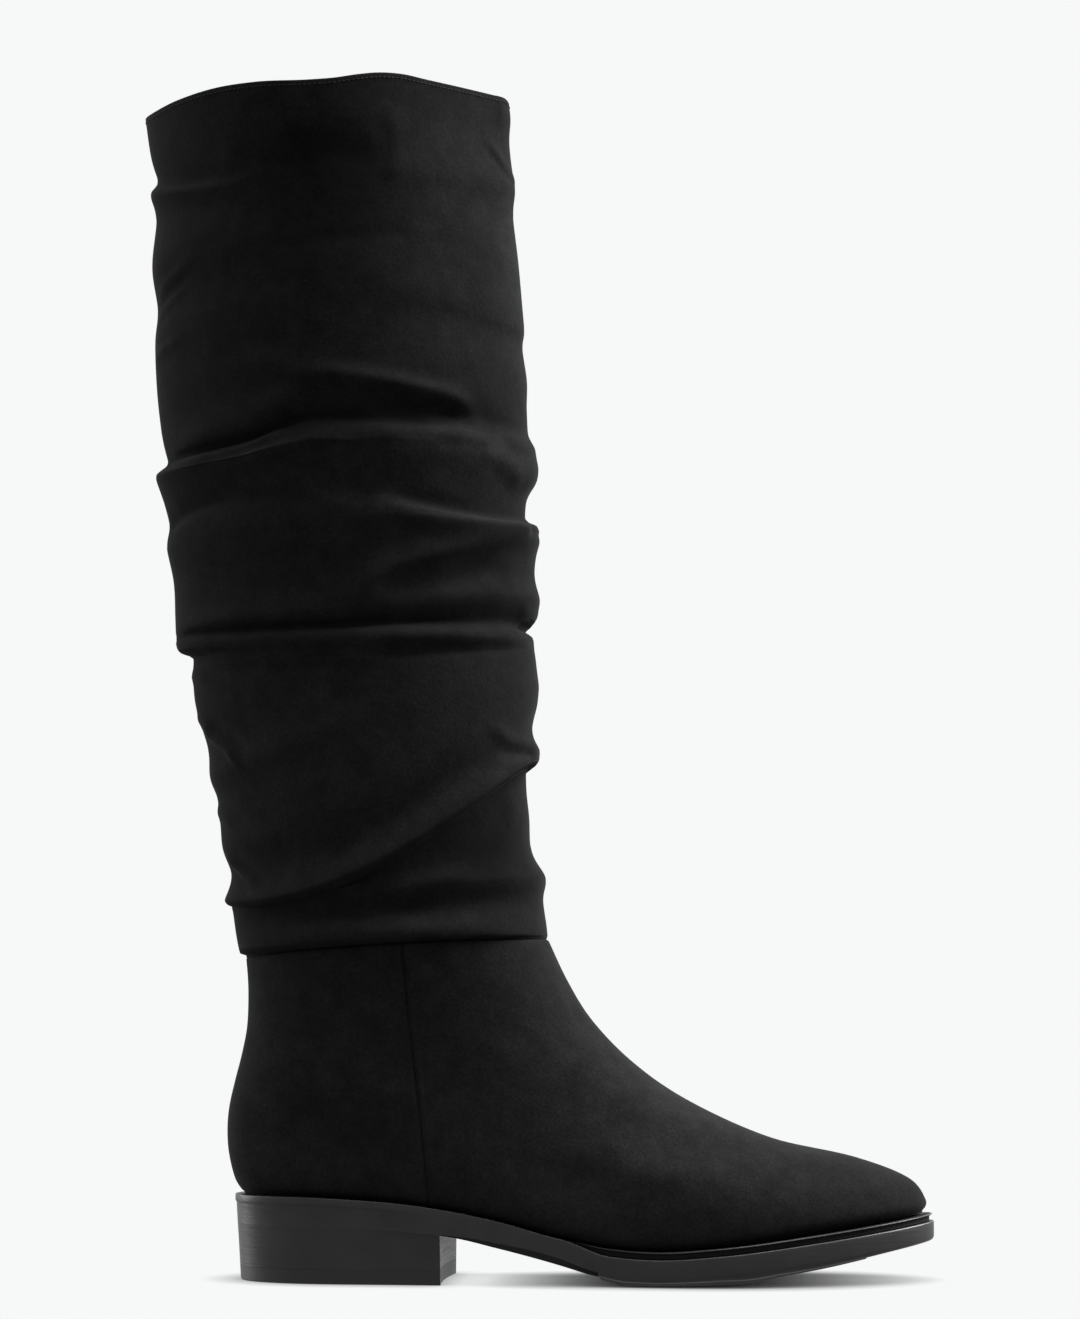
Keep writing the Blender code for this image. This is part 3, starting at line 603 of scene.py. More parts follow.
def suede_wall(name, walls, tone, materials, sharp_degrees=None, shaded_underside=None):
    """A closed wall from the rings of its outside, its rim, its lining and a turned edge.

    tone is the nap's own tone with painted light and shade, at the points of the outside. The lining
    has the second material, and the faces of the outside that face down have the third, a copy of
    the suede without its sheen, as painted shade.
    """
    outside, rim, _, turned = walls
    rings = np.concatenate(walls)
    across = rings.shape[1]
    faces = ring_quads(len(rings), across, closed=True)
    ring = np.arange(len(faces)) // across
    lined = (ring >= len(outside) + len(rim)) & (ring < len(rings) - len(turned) - 1)
    chosen = lined.astype(int)
    if shaded_underside is not None:
        chosen[:shaded_underside.size][shaded_underside.ravel()] = 2
    made = new_piece(name, rings.reshape(-1, 3), faces, materials, sharp_degrees, chosen)
    # painted light and shade with the nap's own tone, kept on the points as a factor of the suede's colour
    nap_and_light = np.ones(len(made.data.vertices))
    nap_and_light[:tone.size] = tone.ravel()
    # painted shade on the turned edges in the seams
    nap_and_light[-len(turned) * across:] = TURNED_EDGE_SHADE
    made.data.attributes.new("nap_and_light", "FLOAT", "POINT").data.foreach_set("value", nap_and_light)
    return made


# Shaft

SHAFT_TOP = len(SLOUCH["fold"]) - 1
tube_line = curves(SHAFT_TUBE)
slouch_line = curves({**SLOUCH, "fold": range(SHAFT_TOP + 1)}, steady=True)
SHAFT_TURNS = np.linspace(0, 2 * math.pi, SHAFT_COLUMNS, endpoint=False)


def through(back, side, front, forward):
    """A parabola over the depth of the shaft: forward is -1 at the back, 1 at the front."""
    return side + (front - back) / 2 * forward + ((front + back) / 2 - side) * forward**2


def shaft_rows():
    """The slouch table's rows, with even steps between them."""
    rows = []
    for row in range(SHAFT_TOP):
        spans = [abs(SLOUCH[name][row + 1] - SLOUCH[name][row]) for name in slouch_line]
        steps = max(2, round(max(spans) / SHAFT_ROW_STEP))
        rows += [row + i / steps for i in range(steps)]
    return np.array([*rows, SHAFT_TOP], float)


def crease_path(course):
    """Fine points of a crease: the way round the shaft, as a length, and the height."""
    turns, heights = np.array(course, float).T
    marks = np.arange(len(course))
    fine = np.linspace(0, marks[-1], marks[-1] * CREASE_STEPS + 1)
    lines = (np.radians(turns) * CREASE_RADIUS, heights)
    return np.stack([curve(marks, line)(fine) for line in lines], axis=1)


def beside_path(path, spots):
    """Each spot's distance from a path, its side of it and its share of the way along."""
    nearest = np.full(len(spots), np.inf)
    side, along = np.zeros(len(spots)), np.zeros(len(spots))
    for i, (start, end) in enumerate(zip(path, path[1:])):
        step = end - start
        share = np.clip((spots - start) @ step / (step @ step), 0.0, 1.0)
        gap = spots - start - share[:, None] * step
        distance = np.hypot(gap[:, 0], gap[:, 1])
        closer = distance < nearest
        nearest[closer] = distance[closer]
        side[closer] = step[0] * gap[closer, 1] - step[1] * gap[closer, 0]
        along[closer] = (i + share[closer]) / (len(path) - 1)
    return nearest, side, along


def crease_relief(turns, heights):
    """How far the creases raise or sink the wall, at turns from 0 to pi and heights."""
    relief = np.zeros(heights.shape)
    around = turns * CREASE_RADIUS
    for _, rise, right, left, course in CREASES:
        path = crease_path(course)
        room = CREASE_ROOM * max(right, left)
        near = (heights > path[:, 1].min() - room) & (heights < path[:, 1].max() + room)
        nearest, side, along = beside_path(path, np.stack((around[near], heights[near]), axis=1))
        fade = np.ones(len(along))
        if course[0][0] > CREASE_RUNS_ON[0]:
            fade *= smooth_step(0, CREASE_FADE, along)
        if course[-1][0] < CREASE_RUNS_ON[1]:
            fade *= smooth_step(0, CREASE_FADE, 1 - along)
        relief[near] += rise * fade * hump(nearest, np.where(side > 0, left, right))
    return relief


def course_shift(rows):
    """How far each fold leaves its even course, in height, at the shaft's turns."""
    shift = np.zeros((len(rows), SHAFT_COLUMNS))
    for fold, reach, places in COURSES:
        turns, heights = np.array(places, float).T
        line = curve(np.radians(turns), heights)
        near = hump(rows - SLOUCH["fold"].index(fold), reach)
        shift += near[:, None] * line(fold_turn(SHAFT_TURNS))[None, :]
    return shift


def neighbours(values, reach):
    """Each ring's values beside those of the rings up to that many below and above."""
    padded = np.pad(values, ((reach, reach), (0, 0)), mode="edge")
    return np.array([padded[i:i + len(values)] for i in range(2 * reach + 1)])


def evened(values, reach):
    return neighbours(values, reach).mean(axis=0)


def shaft_wall():
    """Rings of the shaft's outside, from the ankle seam up, of its lining, and their normals."""
    rows = shaft_rows()
    at = {name: line(rows)[:, None] for name, line in slouch_line.items()}
    forward, sideways = -np.cos(SHAFT_TURNS)[None, :], np.sin(SHAFT_TURNS)[None, :]
    inner = np.maximum(0.0, -sideways) ** 2
    back_x, front_x = tube_line["back_x"](at["back"]), tube_line["front_x"](at["front"])
    half = (front_x - back_x) / 2
    spreads = [tube_line["spread_" + place](at["side"]) for place in ("back", "side", "front")]
    spread = through(*spreads, forward)
    from_end = np.minimum(rows, SHAFT_TOP - rows)[:, None]
    lift = INNER_SIDE_LIFT * smooth_step(0, LIFT_ROWS, from_end)
    ends = smooth_step(0, CALM_ROWS, from_end)
    height = through(at["back"], at["side"], at["front"], forward) + course_shift(rows)
    folds = through(at["out_back"], at["out_side"], at["out_front"], forward)
    out = folds + ends * (evened(folds, FOLD_SOFTNESS) - folds)
    creases = crease_relief(np.broadcast_to(fold_turn(SHAFT_TURNS), height.shape), height)
    out = (out + creases) * (1 - (1 - INNER_SIDE_CALM) * inner)
    height = height + lift * inner + SEAM_TUCK_GAP
    middle = (front_x + back_x) / 2
    normal = unit(np.stack((forward * spread, -sideways * half), axis=2))
    tube = np.stack((middle + half * forward, -spread * sideways, height), axis=2)
    out = out + ends * soft_waves(tube, WAVE_SIZE, WAVE_HEIGHT)
    out = out + FRONT_FULLNESS * np.maximum(0.0, forward) ** 2
    outside = tube.copy()
    outside[:, :, :2] += normal * out[:, :, None]

    inside_out = evened(neighbours(out, LINING_REACH).min(axis=0), LINING_REACH) - SUEDE_WALL
    inside = tube.copy()
    inside[:, :, :2] += normal * inside_out[:, :, None]
    return outside, inside, normal


def rounded_rim(first, last, rise):
    """Rings of a half round edge between two rings."""
    angles = np.pi * np.arange(1, ARC_STEPS)[:, None, None] / ARC_STEPS
    rings = first + (last - first) * (1 - np.cos(angles)) / 2
    rings[:, :, 2] += rise * np.sin(angles[:, :, 0])
    return rings


def build_shaft(suede, lining, underside_shade_suede):
    outside, inside, normal = shaft_wall()
    rim = rounded_rim(outside[-1], inside[-1], COLLAR_ROUND)
    tuck = rounded_rim(inside[0], outside[0], -TUCK_DEPTH)
    lining_rings = inside[::-LINING_STEP]
    if len(inside) % LINING_STEP != 1:
        lining_rings = np.concatenate((lining_rings, inside[:1]))
    walls = (outside, rim, lining_rings, tuck)
    tone = nap_and_light_tone(SHAFT_NAP_AND_LIGHT, np.degrees(fold_turn(SHAFT_TURNS)), outside[:, :, 2])
    # painted shade: faces that face down get a copy of the suede without sheen
    under = grid_normals(outside)[:-1, :, 2] < UNDERSIDE_TILT
    materials = [suede, lining, underside_shade_suede]
    made = suede_wall("shaft_suede", walls, tone, materials, shaded_underside=under)
    return made, outside, normal


def build_stitches(outside, normal, thread):
    """Short stitches along the collar, a little below its edge."""
    edge, below = outside[-1], outside[-1 - COLLAR_RINGS]
    line = edge + unit(below - edge) * STITCH_BELOW_EDGE
    out = np.concatenate((normal[-1], np.zeros((SHAFT_COLUMNS, 1))), axis=1)
    steps = np.linalg.norm(np.roll(line, -1, axis=0) - line, axis=1)
    travelled = np.concatenate(([0.0], np.cumsum(steps)))
    length = travelled[-1]
    count = int(length / STITCH_PITCH)

    def at(table, distance):
        closed = np.concatenate((table, table[:1]))
        return np.array([np.interp(distance % length, travelled, axis) for axis in closed.T])

    points, faces = [], []
    for n in range(count):
        middle = length * n / count
        away = unit(at(out, middle))
        start = len(points)
        for share, width in STITCH_FORM:
            spot = at(line, middle + share * STITCH_LENGTH)
            ahead = at(line, middle + (share + STITCH_AHEAD) * STITCH_LENGTH) - spot
            across = np.cross(away, unit(ahead))
            for k in range(STITCH_SIDES):
                angle = 2 * math.pi * k / STITCH_SIDES
                reach = STITCH_RADIUS * width
                points.append(spot + reach * (math.cos(angle) * away + math.sin(angle) * across))
        quads = ring_quads(len(STITCH_FORM), STITCH_SIDES, closed=False) + start
        faces += [list(q[::-1]) for q in quads]
        faces.append(list(range(start, start + STITCH_SIDES)))
        faces.append(list(range(len(points) - 1, len(points) - 1 - STITCH_SIDES, -1)))
    return new_piece("collar_stitches", np.array(points), faces, [thread])


# Foot

FOOT_TOP = len(FOOT_LEVELS["back_x"]) - 1
foot_line = curves({"level": range(FOOT_TOP + 1), **FOOT_LEVELS})
foot_spread = curves(FOOT_SPREAD)


def foot_ring(level, turns):
    """Points of one level of the foot at the given turns."""
    back_x, back_z, front_x, front_z, follow, arch = (
        line(level) for line in foot_line.values()
    )
    spread = even_curve([line(level) for line in foot_spread.values()])
    swing_left = 1 - smooth_step(SWING_FADES_FROM, FOOT_TOP, level)
    share = (1 - np.cos(turns)) / 2
    x = back_x + (front_x - back_x) * share
    y = swing_line(x) * swing_left - spread(fold_turn(turns)) * np.sin(turns)
    rise_back = back_z - follow * feather_line(back_x)
    rise_front = front_z - follow * feather_line(front_x)
    z = follow * feather_line(x) + rise_back + (rise_front - rise_back) * share
    z += arch * np.sin(turns) ** 2
    return np.stack((x, y, z), axis=1)


def seam_turn(level):
    """The turn at which the side seam crosses a level."""
    back_x, front_x = foot_line["back_x"](level), foot_line["front_x"](level)
    turn = math.pi / 2
    for _ in range(SEAM_ROUNDS):
        x = seam_line(foot_ring(level, np.array([turn]))[0, 2])
        turn = math.acos(1 - 2 * (x - back_x) / (front_x - back_x))
    return turn


def foot_turns(level):
    """Turns of one level, crowded at the seams, with the outer side first."""
    seam = seam_turn(level)

    def crowded(steps):
        share = np.arange(steps + 1) / steps
        return SEAM_CROWDING * share + (1 - SEAM_CROWDING) * share**2

    back = seam * (1 - crowded(FOOT_BACK_COLUMNS)[::-1])
    front = seam + (math.pi - seam) * crowded(FOOT_FRONT_COLUMNS)
    return both_sides(np.concatenate((back, front[1:])))


def foot_relief(points, levels, above_sole):
    """How far the suede stands out from the foot's rings: soft waves, seams and turned edges."""
    relief = soft_waves(points, WAVE_SIZE, FOOT_WAVE_HEIGHT)
    relief *= smooth_step(0, FOOT_CALM, np.minimum(levels, FOOT_TOP - levels))[:, None]
    column = np.arange(points.shape[1])
    for seam in (FOOT_BACK_COLUMNS, len(column) - FOOT_BACK_COLUMNS):
        offset = np.linalg.norm(points - points[:, seam:seam + 1], axis=2)
        offset[:, np.abs(column - seam) >= FOOT_BACK_COLUMNS] = np.inf
        relief -= SEAM_DEPTH * hump(offset, SEAM_WIDTH)
        relief += SEAM_ROLL * hump(offset - SEAM_ROLL_AT, SEAM_ROLL_WIDTH)
    relief -= FEATHER_TUCK * np.clip(1 - above_sole / FEATHER_HEIGHT, 0.0, 1.0)
    below_rim = points[-1:, :, 2] - points[:, :, 2]
    return relief - RIM_TUCK * np.clip(1 - below_rim / RIM_HEIGHT, 0.0, 1.0) ** 2


def build_foot(suede, lining):
    levels = np.linspace(0, FOOT_TOP, FOOT_ROWS)
    points = np.array([foot_ring(level, foot_turns(level)) for level in levels])
    above_sole = points[:, :, 2] - points[:1, :, 2]
    normal = grid_normals(points)
    outside = points + normal * foot_relief(points, levels, above_sole)[:, :, None]
    inside = (points - normal * SUEDE_WALL)[::-LINING_STEP]
    no_rim = outside[:0]
    skirt = rounded_rim(inside[-1], outside[0], -SKIRT_DEPTH)
    tone = nap_and_light_tone(FOOT_NAP_AND_LIGHT, outside[:, :, 0], outside[:, :, 2])
    # painted shade on the suede just above the sole
    painted_feather_shade = np.interp(points[:, :, 0], (SOLE_BACK, SOLE_FRONT), FEATHER_SHADE)
    tone *= 1 - painted_feather_shade * hump(above_sole, FEATHER_SHADE_HEIGHT)
    walls = (outside, no_rim, inside, skirt)
    return suede_wall("foot_suede", walls, tone, [suede, lining], FOOT_SHARP)


# Sole

def outline(turns, inset=0.0):
    """Points of the sole's outline, seen from above, moved inwards along their normals."""
    def edge(turn):
        share = (1 - np.cos(turn)) / 2
        x = SOLE_BACK + (SOLE_FRONT - SOLE_BACK) * share
        return np.stack((x, swing_line(x) - sole_spread(fold_turn(turn)) * np.sin(turn)), axis=1)

    along = edge(turns + NUDGE) - edge(turns - NUDGE)
    return edge(turns) - outward(along) * np.reshape(inset, (-1, 1))


def turn_at(x):
    """The outline's turn at a given x."""
    share = (x - SOLE_BACK) / (SOLE_FRONT - SOLE_BACK)
    return np.arccos(np.clip(1 - 2 * share, -1.0, 1.0))


def plate_height(x):
    """Thickness of the tread's plate at x, sloped at both ends, none outside it."""
    slope = np.minimum(x - TREAD_START, TREAD_END - x) / RIB_FLANK
    thickness = RIB_HEIGHT * (1 - TREAD_THINNING * smooth_step(*TREAD_THINS, x))
    return thickness * np.clip(slope, 0.0, 1.0)


def tread_height(x):
    """The same with its grooves: full on a rib, less in a groove."""
    place = np.mod(x - TREAD_START, TREAD_PITCH)
    on_rib = np.clip(np.minimum(place, RIB_WIDTH - place) / RIB_FLANK, 0.0, 1.0)
    return plate_height(x) * (1 - GROOVE_DEPTH / RIB_HEIGHT * (1 - on_rib))


def sole_turns():
    """Even steps round the outline, with the corners of the tread ribs added."""
    even = np.linspace(0, math.pi, SOLE_HALF_STEPS + 1)
    corners = (0.0, RIB_FLANK, RIB_WIDTH - RIB_FLANK, RIB_WIDTH)
    rib_xs = [TREAD_START + TREAD_PITCH * n + c for n in range(TREAD_RIBS) for c in corners]
    rib_turns = turn_at(np.array(rib_xs))
    room = RIB_ROOM * math.pi / SOLE_HALF_STEPS
    kept = [t for t in even if np.abs(rib_turns - t).min() > room]
    return both_sides(np.sort(np.concatenate((kept, rib_turns))))


def welt_size(x):
    """0 behind the welt, 1 where it has its full size."""
    return smooth_step(WELT_START - WELT_RUN, WELT_START, x)


def sole_ring(turns, inset, line, offset):
    """A ring inside the sole's outline, that far above a line along the sole."""
    spots = outline(turns, inset)
    return np.column_stack((spots, line(spots[:, 0]) + offset))


def upper_rows(station, at_heel):
    """Rows of the sole's top: the shelf under the welt, a rounded edge and the lip."""
    shelf = -(WELT_THICKNESS + GAP) * welt_size(station)
    from_x, to_x, at_back, at_front = FINE_EDGE
    edge_round = at_back + (at_front - at_back) * smooth_step(from_x, to_x, station)
    rows = [
        (WELT_REACH + 2 * GAP, feather_line, 0.0),
        (WELT_REACH + GAP, feather_line, shelf),
    ]
    for step in range(ARC_STEPS + 1):
        bend = math.pi / 2 * step / ARC_STEPS
        drop = edge_round * (1 - math.cos(bend))
        rows.append((edge_round * (1 - math.sin(bend)), feather_line, shelf - drop))
    return rows + [
        (0.0, feather_line, shelf - LIP_HEIGHT + LIP_TURN),
        (LIP_TURN_DEPTH * at_heel, feather_line, shelf - LIP_HEIGHT),
        (LIP_STEP * at_heel, feather_line, shelf - LIP_HEIGHT - LIP_STEP),
    ]


def lower_rows(station, upper_edge):
    """Rows of the bevel, flat in the waist and round in front of it, and of the tread."""
    lower_edge = bevel_inset(station) + upper_edge
    rounded = smooth_step(*ROUNDED_FROM, station)
    lift = edge_lift(station)
    bevel_height = bevel_rise(station) + BEVEL_LEAST
    rows = []
    for step in range(BEVEL_STEPS + 1):
        flat = step / BEVEL_STEPS
        bend = math.pi / 2 * flat
        inwards = flat + (1 - math.cos(bend) - flat) * rounded
        left = 1 - flat - (math.sin(bend) - flat) * rounded
        inset = upper_edge + (lower_edge - upper_edge) * inwards
        rows.append((inset, underside_line, lift + bevel_height * left))
    sloped = TREAD_SLOPE * (1 - smooth_step(*TREAD_STEEPENS, station))
    plate_edge = lower_edge + TREAD_MARGIN + RIB_FLANK + sloped
    return rows + [
        (lower_edge + TREAD_MARGIN, underside_line, lift),
        (plate_edge, underside_line, -plate_height(station)),
        (plate_edge + GROOVE_MARGIN, underside_line, -tread_height(station)),
    ]


def build_outsole(materials):
    turns = sole_turns()
    station = outline(turns)[:, 0]
    at_heel = 1 - smooth_step(*LIP_FADE, station)
    upper = upper_rows(station, at_heel)
    lower = lower_rows(station, HEEL_TAPER * at_heel)
    rings = [sole_ring(turns, *row) for row in upper + lower]
    in_waist = (station > BREAST_OUTER) & (station < TREAD_START)
    below_bevel = np.arange(len(rings) - 1)[:, None] - len(upper)
    matt = (below_bevel >= 0) & (in_waist | (below_bevel >= BEVEL_STEPS))
    return stack_piece("outsole_fine", rings, len(turns) // 2 - 1, materials, SOLE_SHARP, matt)


def build_welt(materials):
    """The strip round the forefoot: a trimmed top edge, lighter as a painted highlight, over a recess
    darkened as painted shade.
    """
    start = float(turn_at(WELT_START - WELT_RUN * WELT_SHOWN))
    turns = np.linspace(start, 2 * math.pi - start, WELT_STEPS + 1)
    size = welt_size(outline(turns)[:, 0])
    loops = []
    for inset, depth in WELT_EDGE:
        drawn_in = inset + (WELT_REACH - inset) * WELT_END_TAPER * (1 - size)
        loops.append(sole_ring(turns, drawn_in, feather_line, -depth * size))
    rings = np.array(loops).transpose(1, 0, 2)
    across = len(loops)
    faces = [list(f) for f in ring_quads(len(rings), across, closed=False)]
    last = (len(rings) - 1) * across
    faces.append(list(range(across - 1, -1, -1)))
    faces.append([last + k for k in range(across)])
    strip = np.arange(len(faces)) % across
    trimmed = ((strip >= 1) & (strip < WELT_TRIMMED)).astype(int)
    return new_piece("welt_fine", rings.reshape(-1, 3), faces, materials, WELT_SHARP, trimmed)


def build_sock(material):
    edge = foot_ring(0, both_sides(np.linspace(0, math.pi, SOLE_HALF_STEPS + 1)))
    along = np.roll(edge, -1, axis=0) - np.roll(edge, 1, axis=0)
    rings = []
    for inset, lift in SOCK_EDGE:
        spots = edge[:, :2] - outward(along) * (INSOLE_MARGIN + inset)
        rings.append(np.column_stack((spots, feather_line(spots[:, 0]) + GAP + lift)))
    return stack_piece("sock_lining", rings, SOLE_HALF_STEPS - 1, [material], SOCK_SHARP)


# Heel

def heel_ring(inset, under_sole, height):
    """A D-shaped ring: round the back of the sole, then across the hollow breast.

    It lies at that share of the height under the sole, and the height given above that.
    """
    sides = []
    for breast, turn in ((BREAST_OUTER, 1), (BREAST_INNER, -1)):
        corner = float(turn_at(breast)) * turn
        sides.append(outline(np.linspace(0, corner, HEEL_HALF_STEPS + 1), inset))
    outer, inner = sides
    share = np.arange(1, BREAST_STEPS)[:, None] / BREAST_STEPS
    face = outer[-1] + (inner[-1] - outer[-1]) * share
    face[:, :1] -= BREAST_HOLLOW * 4 * share * (1 - share)
    ring = np.concatenate((outer, face, inner[:0:-1]))
    top = underside_line(ring[:, 0]) + HEEL_OVERLAP
    return np.column_stack((ring, top * under_sole + height))


def build_heel(material):
    side = curves(HEEL_SIDE)["inset"]
    bottom = TOP_LIFT_THICKNESS + LIFT_LINE
    shares = np.linspace(0, 1, HEEL_RINGS)
    rings = [heel_ring(side(share), 1 - share, bottom * share) for share in shares]
    return stack_piece("heel_block", rings, HEEL_HALF_STEPS - 1, [material], HEEL_SHARP)


def build_top_lift(material):
    rings = [heel_ring(inset, 0.0, z) for z, inset in TOP_LIFT_SIDE]
    return stack_piece("top_lift_rubber", rings, HEEL_HALF_STEPS - 1, [material], HEEL_SHARP)


# Materials

NOISE_LOW, NOISE_HIGH = 0.3, 0.7  # most of a noise lies between these
FIBRE_SIZE = 0.0011
STREAK_CHANGE = (-0.05, 0.07)  # of the roughness of a trimmed edge


class Nodes:
    """A node tree, with short calls that make its nodes and feed their inputs."""

    def __init__(self, tree):
        self.tree = tree

    def node(self, kind, settings=None, **inputs):
        made = self.tree.nodes.new(kind)
        for key, value in (settings or {}).items():
            setattr(made, key, value)
        return self.feed(made, **inputs)

    def feed(self, node, **inputs):
        """Sets inputs to the values given, or links them to the sockets given."""
        for key, value in inputs.items():
            socket = node.inputs[key.replace("_", " ")]
            if isinstance(value, bpy.types.NodeSocket):
                self.tree.links.new(value, socket)
            else:
                socket.default_value = value
        return node


class Surface(Nodes):
    """A material with a Principled shader, and what its inputs are made of."""

    def __init__(self, name):
        self.material = bpy.data.materials.new(name)
        self.material.use_nodes = True
        super().__init__(self.material.node_tree)
        self.place = self.node("ShaderNodeTexCoord").outputs["Object"]

    def shade(self, **inputs):
        """Feeds the shader and hands over the finished material."""
        self.feed(self.tree.nodes["Principled BSDF"], **inputs)
        return self.material

    def noise(self, size, detail=2.0, roughness=0.5, place=None):
        """Noise with features of about that size in metres."""
        made = self.node("ShaderNodeTexNoise", Vector=place or self.place)
        return self.feed(made, Scale=1 / size, Detail=detail, Roughness=roughness).outputs["Fac"]

    def ramp(self, source, stops):
        """Greys over a source, from (place, grey) stops."""
        made = self.node("ShaderNodeValToRGB", Fac=source)
        elements = made.color_ramp.elements
        elements[0].position = stops[0][0]
        elements[1].position = stops[-1][0]
        for position, _ in stops[1:-1]:
            elements.new(position)
        for element, (_, grey) in zip(elements, stops):
            element.color = (grey, grey, grey, 1.0)
        return made.outputs["Color"]

    def between(self, source, low, high):
        """Greys from low to high over a noise."""
        return self.ramp(source, ((NOISE_LOW, low), (NOISE_HIGH, high)))

    def times(self, first, second, share=1.0):
        """The first colour multiplied by that share of the second."""
        made = self.node("ShaderNodeMix", {"data_type": "RGBA", "blend_type": "MULTIPLY"})
        return self.feed(made, Factor=share, A=first, B=second).outputs["Result"]

    def bump(self, *layers):
        """Normal from (height source, strength, depth in metres) layers, one on the other."""
        below = {}
        for source, strength, depth in layers:
            made = self.node("ShaderNodeBump", Height=source, **below)
            self.feed(made, Strength=strength, Distance=depth)
            below = {"Normal": made.outputs["Normal"]}
        return below["Normal"]


def suede_material(name, sheen):
    surface = Surface(name)
    cloud = surface.noise(size=0.009, detail=4.0, roughness=0.6)
    patches = surface.ramp(cloud, ((0.30, 0.0050), (0.52, 0.0066), (0.74, 0.0084)))
    fibres = surface.noise(FIBRE_SIZE, detail=3.0, roughness=0.6)
    grained = surface.times(patches, surface.between(fibres, low=0.6, high=1.25), share=0.8)
    # the nap's own tone with painted light and shade, read from the meshes, darkens or lightens the colour
    nap_and_light = surface.node("ShaderNodeAttribute", {"attribute_name": "nap_and_light"}).outputs["Fac"]
    dents = surface.noise(size=0.0045, detail=3.0)
    pile = surface.noise(FIBRE_SIZE, detail=3.0)
    return surface.shade(
        Base_Color=surface.times(grained, nap_and_light),
        Roughness=0.95,
        Specular_IOR_Level=0.03,
        Sheen_Weight=sheen,
        Sheen_Roughness=0.40,
        Sheen_Tint=(0.9, 0.92, 0.95, 1.0),
        Normal=surface.bump((dents, 0.35, 0.0004), (pile, 0.4, 0.0002)),
    )


def lining_material():
    surface = Surface("black_lining")
    weave = surface.noise(size=0.0008, detail=1.0)
    return surface.shade(
        Base_Color=surface.between(weave, low=0.012, high=0.022),
        Roughness=0.85,
        Specular_IOR_Level=0.2,
        Normal=surface.bump((weave, 0.3, 0.0002)),
    )


def thread_material():
    surface = Surface("black_thread")
    strands = surface.noise(size=0.0003, detail=1.0)
    colour = surface.between(strands, low=0.006, high=0.012)
    return surface.shade(Base_Color=colour, Roughness=0.75, Specular_IOR_Level=0.15)


def edge_material(name, low, high, roughness):
    """Trimmed black edges: fine streaks along the side, a satin gloss."""
    surface = Surface(name)
    along = surface.node("ShaderNodeMapping", Scale=(0.03, 0.03, 1.0), Vector=surface.place)
    streaks = surface.noise(0.0009, detail=3.0, roughness=0.6, place=along.outputs["Vector"])
    return surface.shade(
        Base_Color=surface.between(surface.noise(size=0.012), low, high),
        Roughness=surface.between(streaks, *(roughness + change for change in STREAK_CHANGE)),
        Specular_IOR_Level=0.42,
        Normal=surface.bump((streaks, 0.25, 0.0002)),
    )


def rubber_material(name, low, high, roughness, gloss):
    surface = Surface(name)
    grain = surface.noise(size=0.0006)
    return surface.shade(
        Base_Color=surface.between(grain, low, high),
        Roughness=roughness,
        Specular_IOR_Level=gloss,
        Normal=surface.bump((grain, 0.2, 0.0001)),
    )


def place_piece(piece, node):
    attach(piece, "root")
    if node:
        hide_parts(node)


# Pieces

suede = suede_material("black_suede", sheen=0.042)
# painted shade: a copy of the suede without its sheen, for the undersides of the folds
underside_shade_suede = suede_material("fold_underside_shade", sheen=0.004)
lining = lining_material()
edge_black = edge_material("trimmed_edge", low=0.006, high=0.010, roughness=0.40)
shaft, shaft_outside, shaft_normal = build_shaft(suede, lining, underside_shade_suede)
place_piece(shaft, "shaft")
place_piece(build_stitches(shaft_outside, shaft_normal, thread_material()), None)
place_piece(build_foot(suede, lining), "upper")
sole_bottom = rubber_material("sole_bottom", low=0.004, high=0.008, roughness=0.75, gloss=0.1)
place_piece(build_outsole([edge_black, sole_bottom]), "outsole")
# painted shade: the recess is made darker than the edges, for the shadow in it
welt_recess_shade = rubber_material("welt_recess_shade", low=0.003, high=0.006, roughness=0.7, gloss=0.12)
# painted highlight: the trimmed edge is made lighter, for the light it catches
welt_trim_highlight = edge_material("welt_trim_highlight", low=0.020, high=0.030, roughness=0.32)
place_piece(build_welt([welt_recess_shade, welt_trim_highlight]), "welt")
place_piece(build_heel(edge_black), "heel")
lift_rubber = rubber_material("top_lift_rubber", low=0.009, high=0.014, roughness=0.48, gloss=0.35)
place_piece(build_top_lift(lift_rubber), "top_lift")
place_piece(build_sock(lining), "insole")


# Stage: floor, light and camera

FLOOR_RADIUS = 14.0
FLOOR_STEPS = 96
CONTACT_REACH = 0.017  # how near the boot has to be to darken the floor with a painted contact shadow
SWEEP = (-0.1, 0.5, 0.66, 0.9)  # from and to this far back, the light of room and sweep
FLOOR_SIDE = (-0.2, 0.1, 0.7, 1.0)  # from and to this high, the share of it that is left
BACKDROP = (0.930, 0.939, 0.939, 1.0)
WHITE, BLACK = (1.0, 1.0, 1.0, 1.0), (0.0, 0.0, 0.0, 1.0)
CAMERA_PLACE = (0.1413, -1.4486, 0.115)
CAMERA_AIM = (0.07805, 0.0, 0.2393)
CAMERA_LENS, CAMERA_SENSOR = 101.78, 36.0  # in millimetres
SUN_SPREAD = 40  # in degrees
# Name, direction to the light and strength
SUNS = (
    ("top", (0.1, -0.2, 1.0), 2.2),
    ("key_right", (1.0, 0.3, 0.9), 8.4),
    ("rim_left", (-1.0, 0.4, 0.3), 1.8),
)


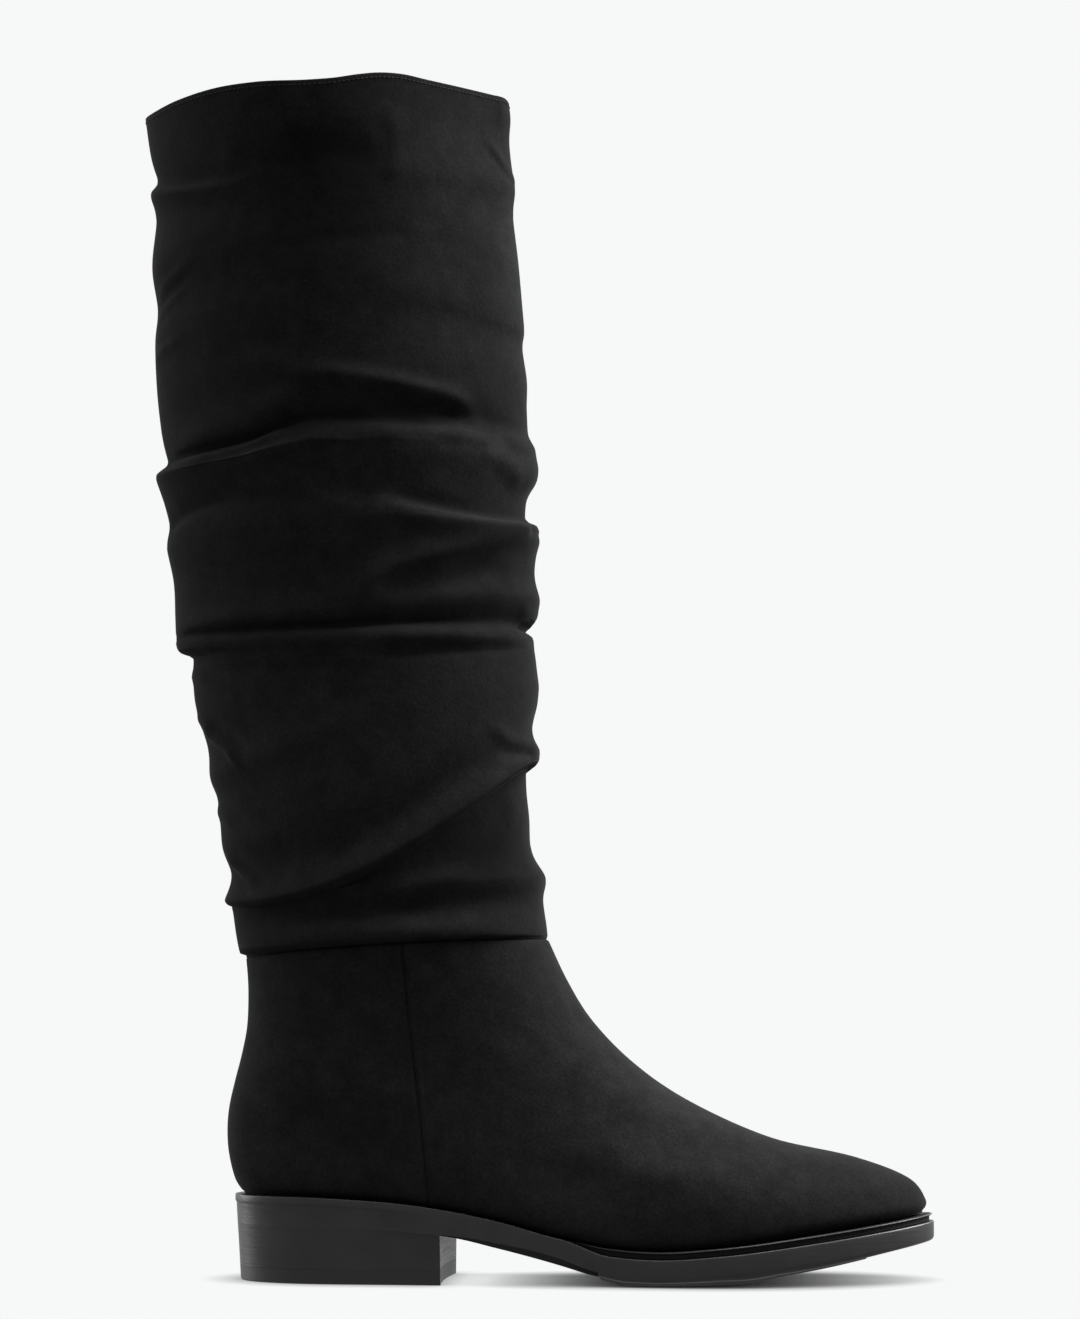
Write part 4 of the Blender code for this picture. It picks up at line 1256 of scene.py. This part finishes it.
def build_floor():
    """A pale floor that glows as evenly as the backdrop, with a painted contact shadow where the boot is
    close to it.
    """
    turns = [2 * math.pi * i / FLOOR_STEPS for i in range(FLOOR_STEPS)]
    rim = [(FLOOR_RADIUS * math.cos(t), FLOOR_RADIUS * math.sin(t), 0.0) for t in turns]
    mesh = bpy.data.meshes.new("floor")
    mesh.from_pydata(rim, [], [list(range(FLOOR_STEPS))])
    surface = Surface("pale_floor")
    painted_contact_shadow = surface.node("ShaderNodeAmbientOcclusion", {"samples": 16}, Distance=CONTACT_REACH)
    surface.shade(Emission_Color=BACKDROP, Emission_Strength=painted_contact_shadow.outputs["AO"])
    mesh.materials.append(surface.shade(Base_Color=BLACK, Roughness=1.0, Specular_IOR_Level=0.0))
    floor = add_object("floor", mesh)
    for ray in ("diffuse", "glossy", "shadow"):
        setattr(floor, "visible_" + ray, False)


def build_world():
    """A pale sweep behind the boot, a dim room in front of it and a dimmer floor."""
    world = bpy.data.worlds.new("studio")
    world.use_nodes = True
    sky = Nodes(world.node_tree)
    place = sky.node("ShaderNodeTexCoord").outputs["Generated"]
    direction = sky.node("ShaderNodeSeparateXYZ", Vector=place)
    light = sky.node("ShaderNodeMath", {"operation": "MULTIPLY"})
    for factor, (axis, sizes) in enumerate((("Y", SWEEP), ("Z", FLOOR_SIDE))):
        change = sky.node("ShaderNodeMapRange", {"interpolation_type": "SMOOTHSTEP"})
        limits = dict(zip(("From_Min", "From_Max", "To_Min", "To_Max"), sizes))
        sky.feed(change, Value=direction.outputs[axis], **limits)
        sky.tree.links.new(change.outputs["Result"], light.inputs[factor])
    fill = sky.tree.nodes["Background"]
    sky.feed(fill, Color=WHITE, Strength=light.outputs["Value"])
    backdrop = sky.node("ShaderNodeBackground", Color=BACKDROP)
    camera_ray = sky.node("ShaderNodeLightPath").outputs["Is Camera Ray"]
    chosen = sky.node("ShaderNodeMixShader", Fac=camera_ray)
    sky.tree.links.new(fill.outputs["Background"], chosen.inputs[1])
    sky.tree.links.new(backdrop.outputs["Background"], chosen.inputs[2])
    sky.feed(sky.tree.nodes["World Output"], Surface=chosen.outputs["Shader"])
    bpy.context.scene.world = world


def turn_towards(thing, axis, direction):
    thing.rotation_mode = "QUATERNION"
    thing.rotation_quaternion = direction.to_track_quat(axis, "Y")


def soft_sun(name, towards, strength):
    """A wide soft light that shines from the direction given."""
    light = bpy.data.lights.new(name, "SUN")
    light.energy = strength
    light.angle = math.radians(SUN_SPREAD)
    turn_towards(add_object(name, light), "Z", Vector(towards))


def build_camera():
    data = bpy.data.cameras.new("photo_camera")
    data.lens = CAMERA_LENS
    data.sensor_width = CAMERA_SENSOR
    camera = add_object("photo_camera", data)
    camera.location = CAMERA_PLACE
    turn_towards(camera, "-Z", Vector(CAMERA_AIM) - Vector(CAMERA_PLACE))
    bpy.context.scene.camera = camera


build_floor()
build_world()
for sun in SUNS:
    soft_sun(*sun)
build_camera()
bpy.context.scene.view_settings.view_transform = "Standard"
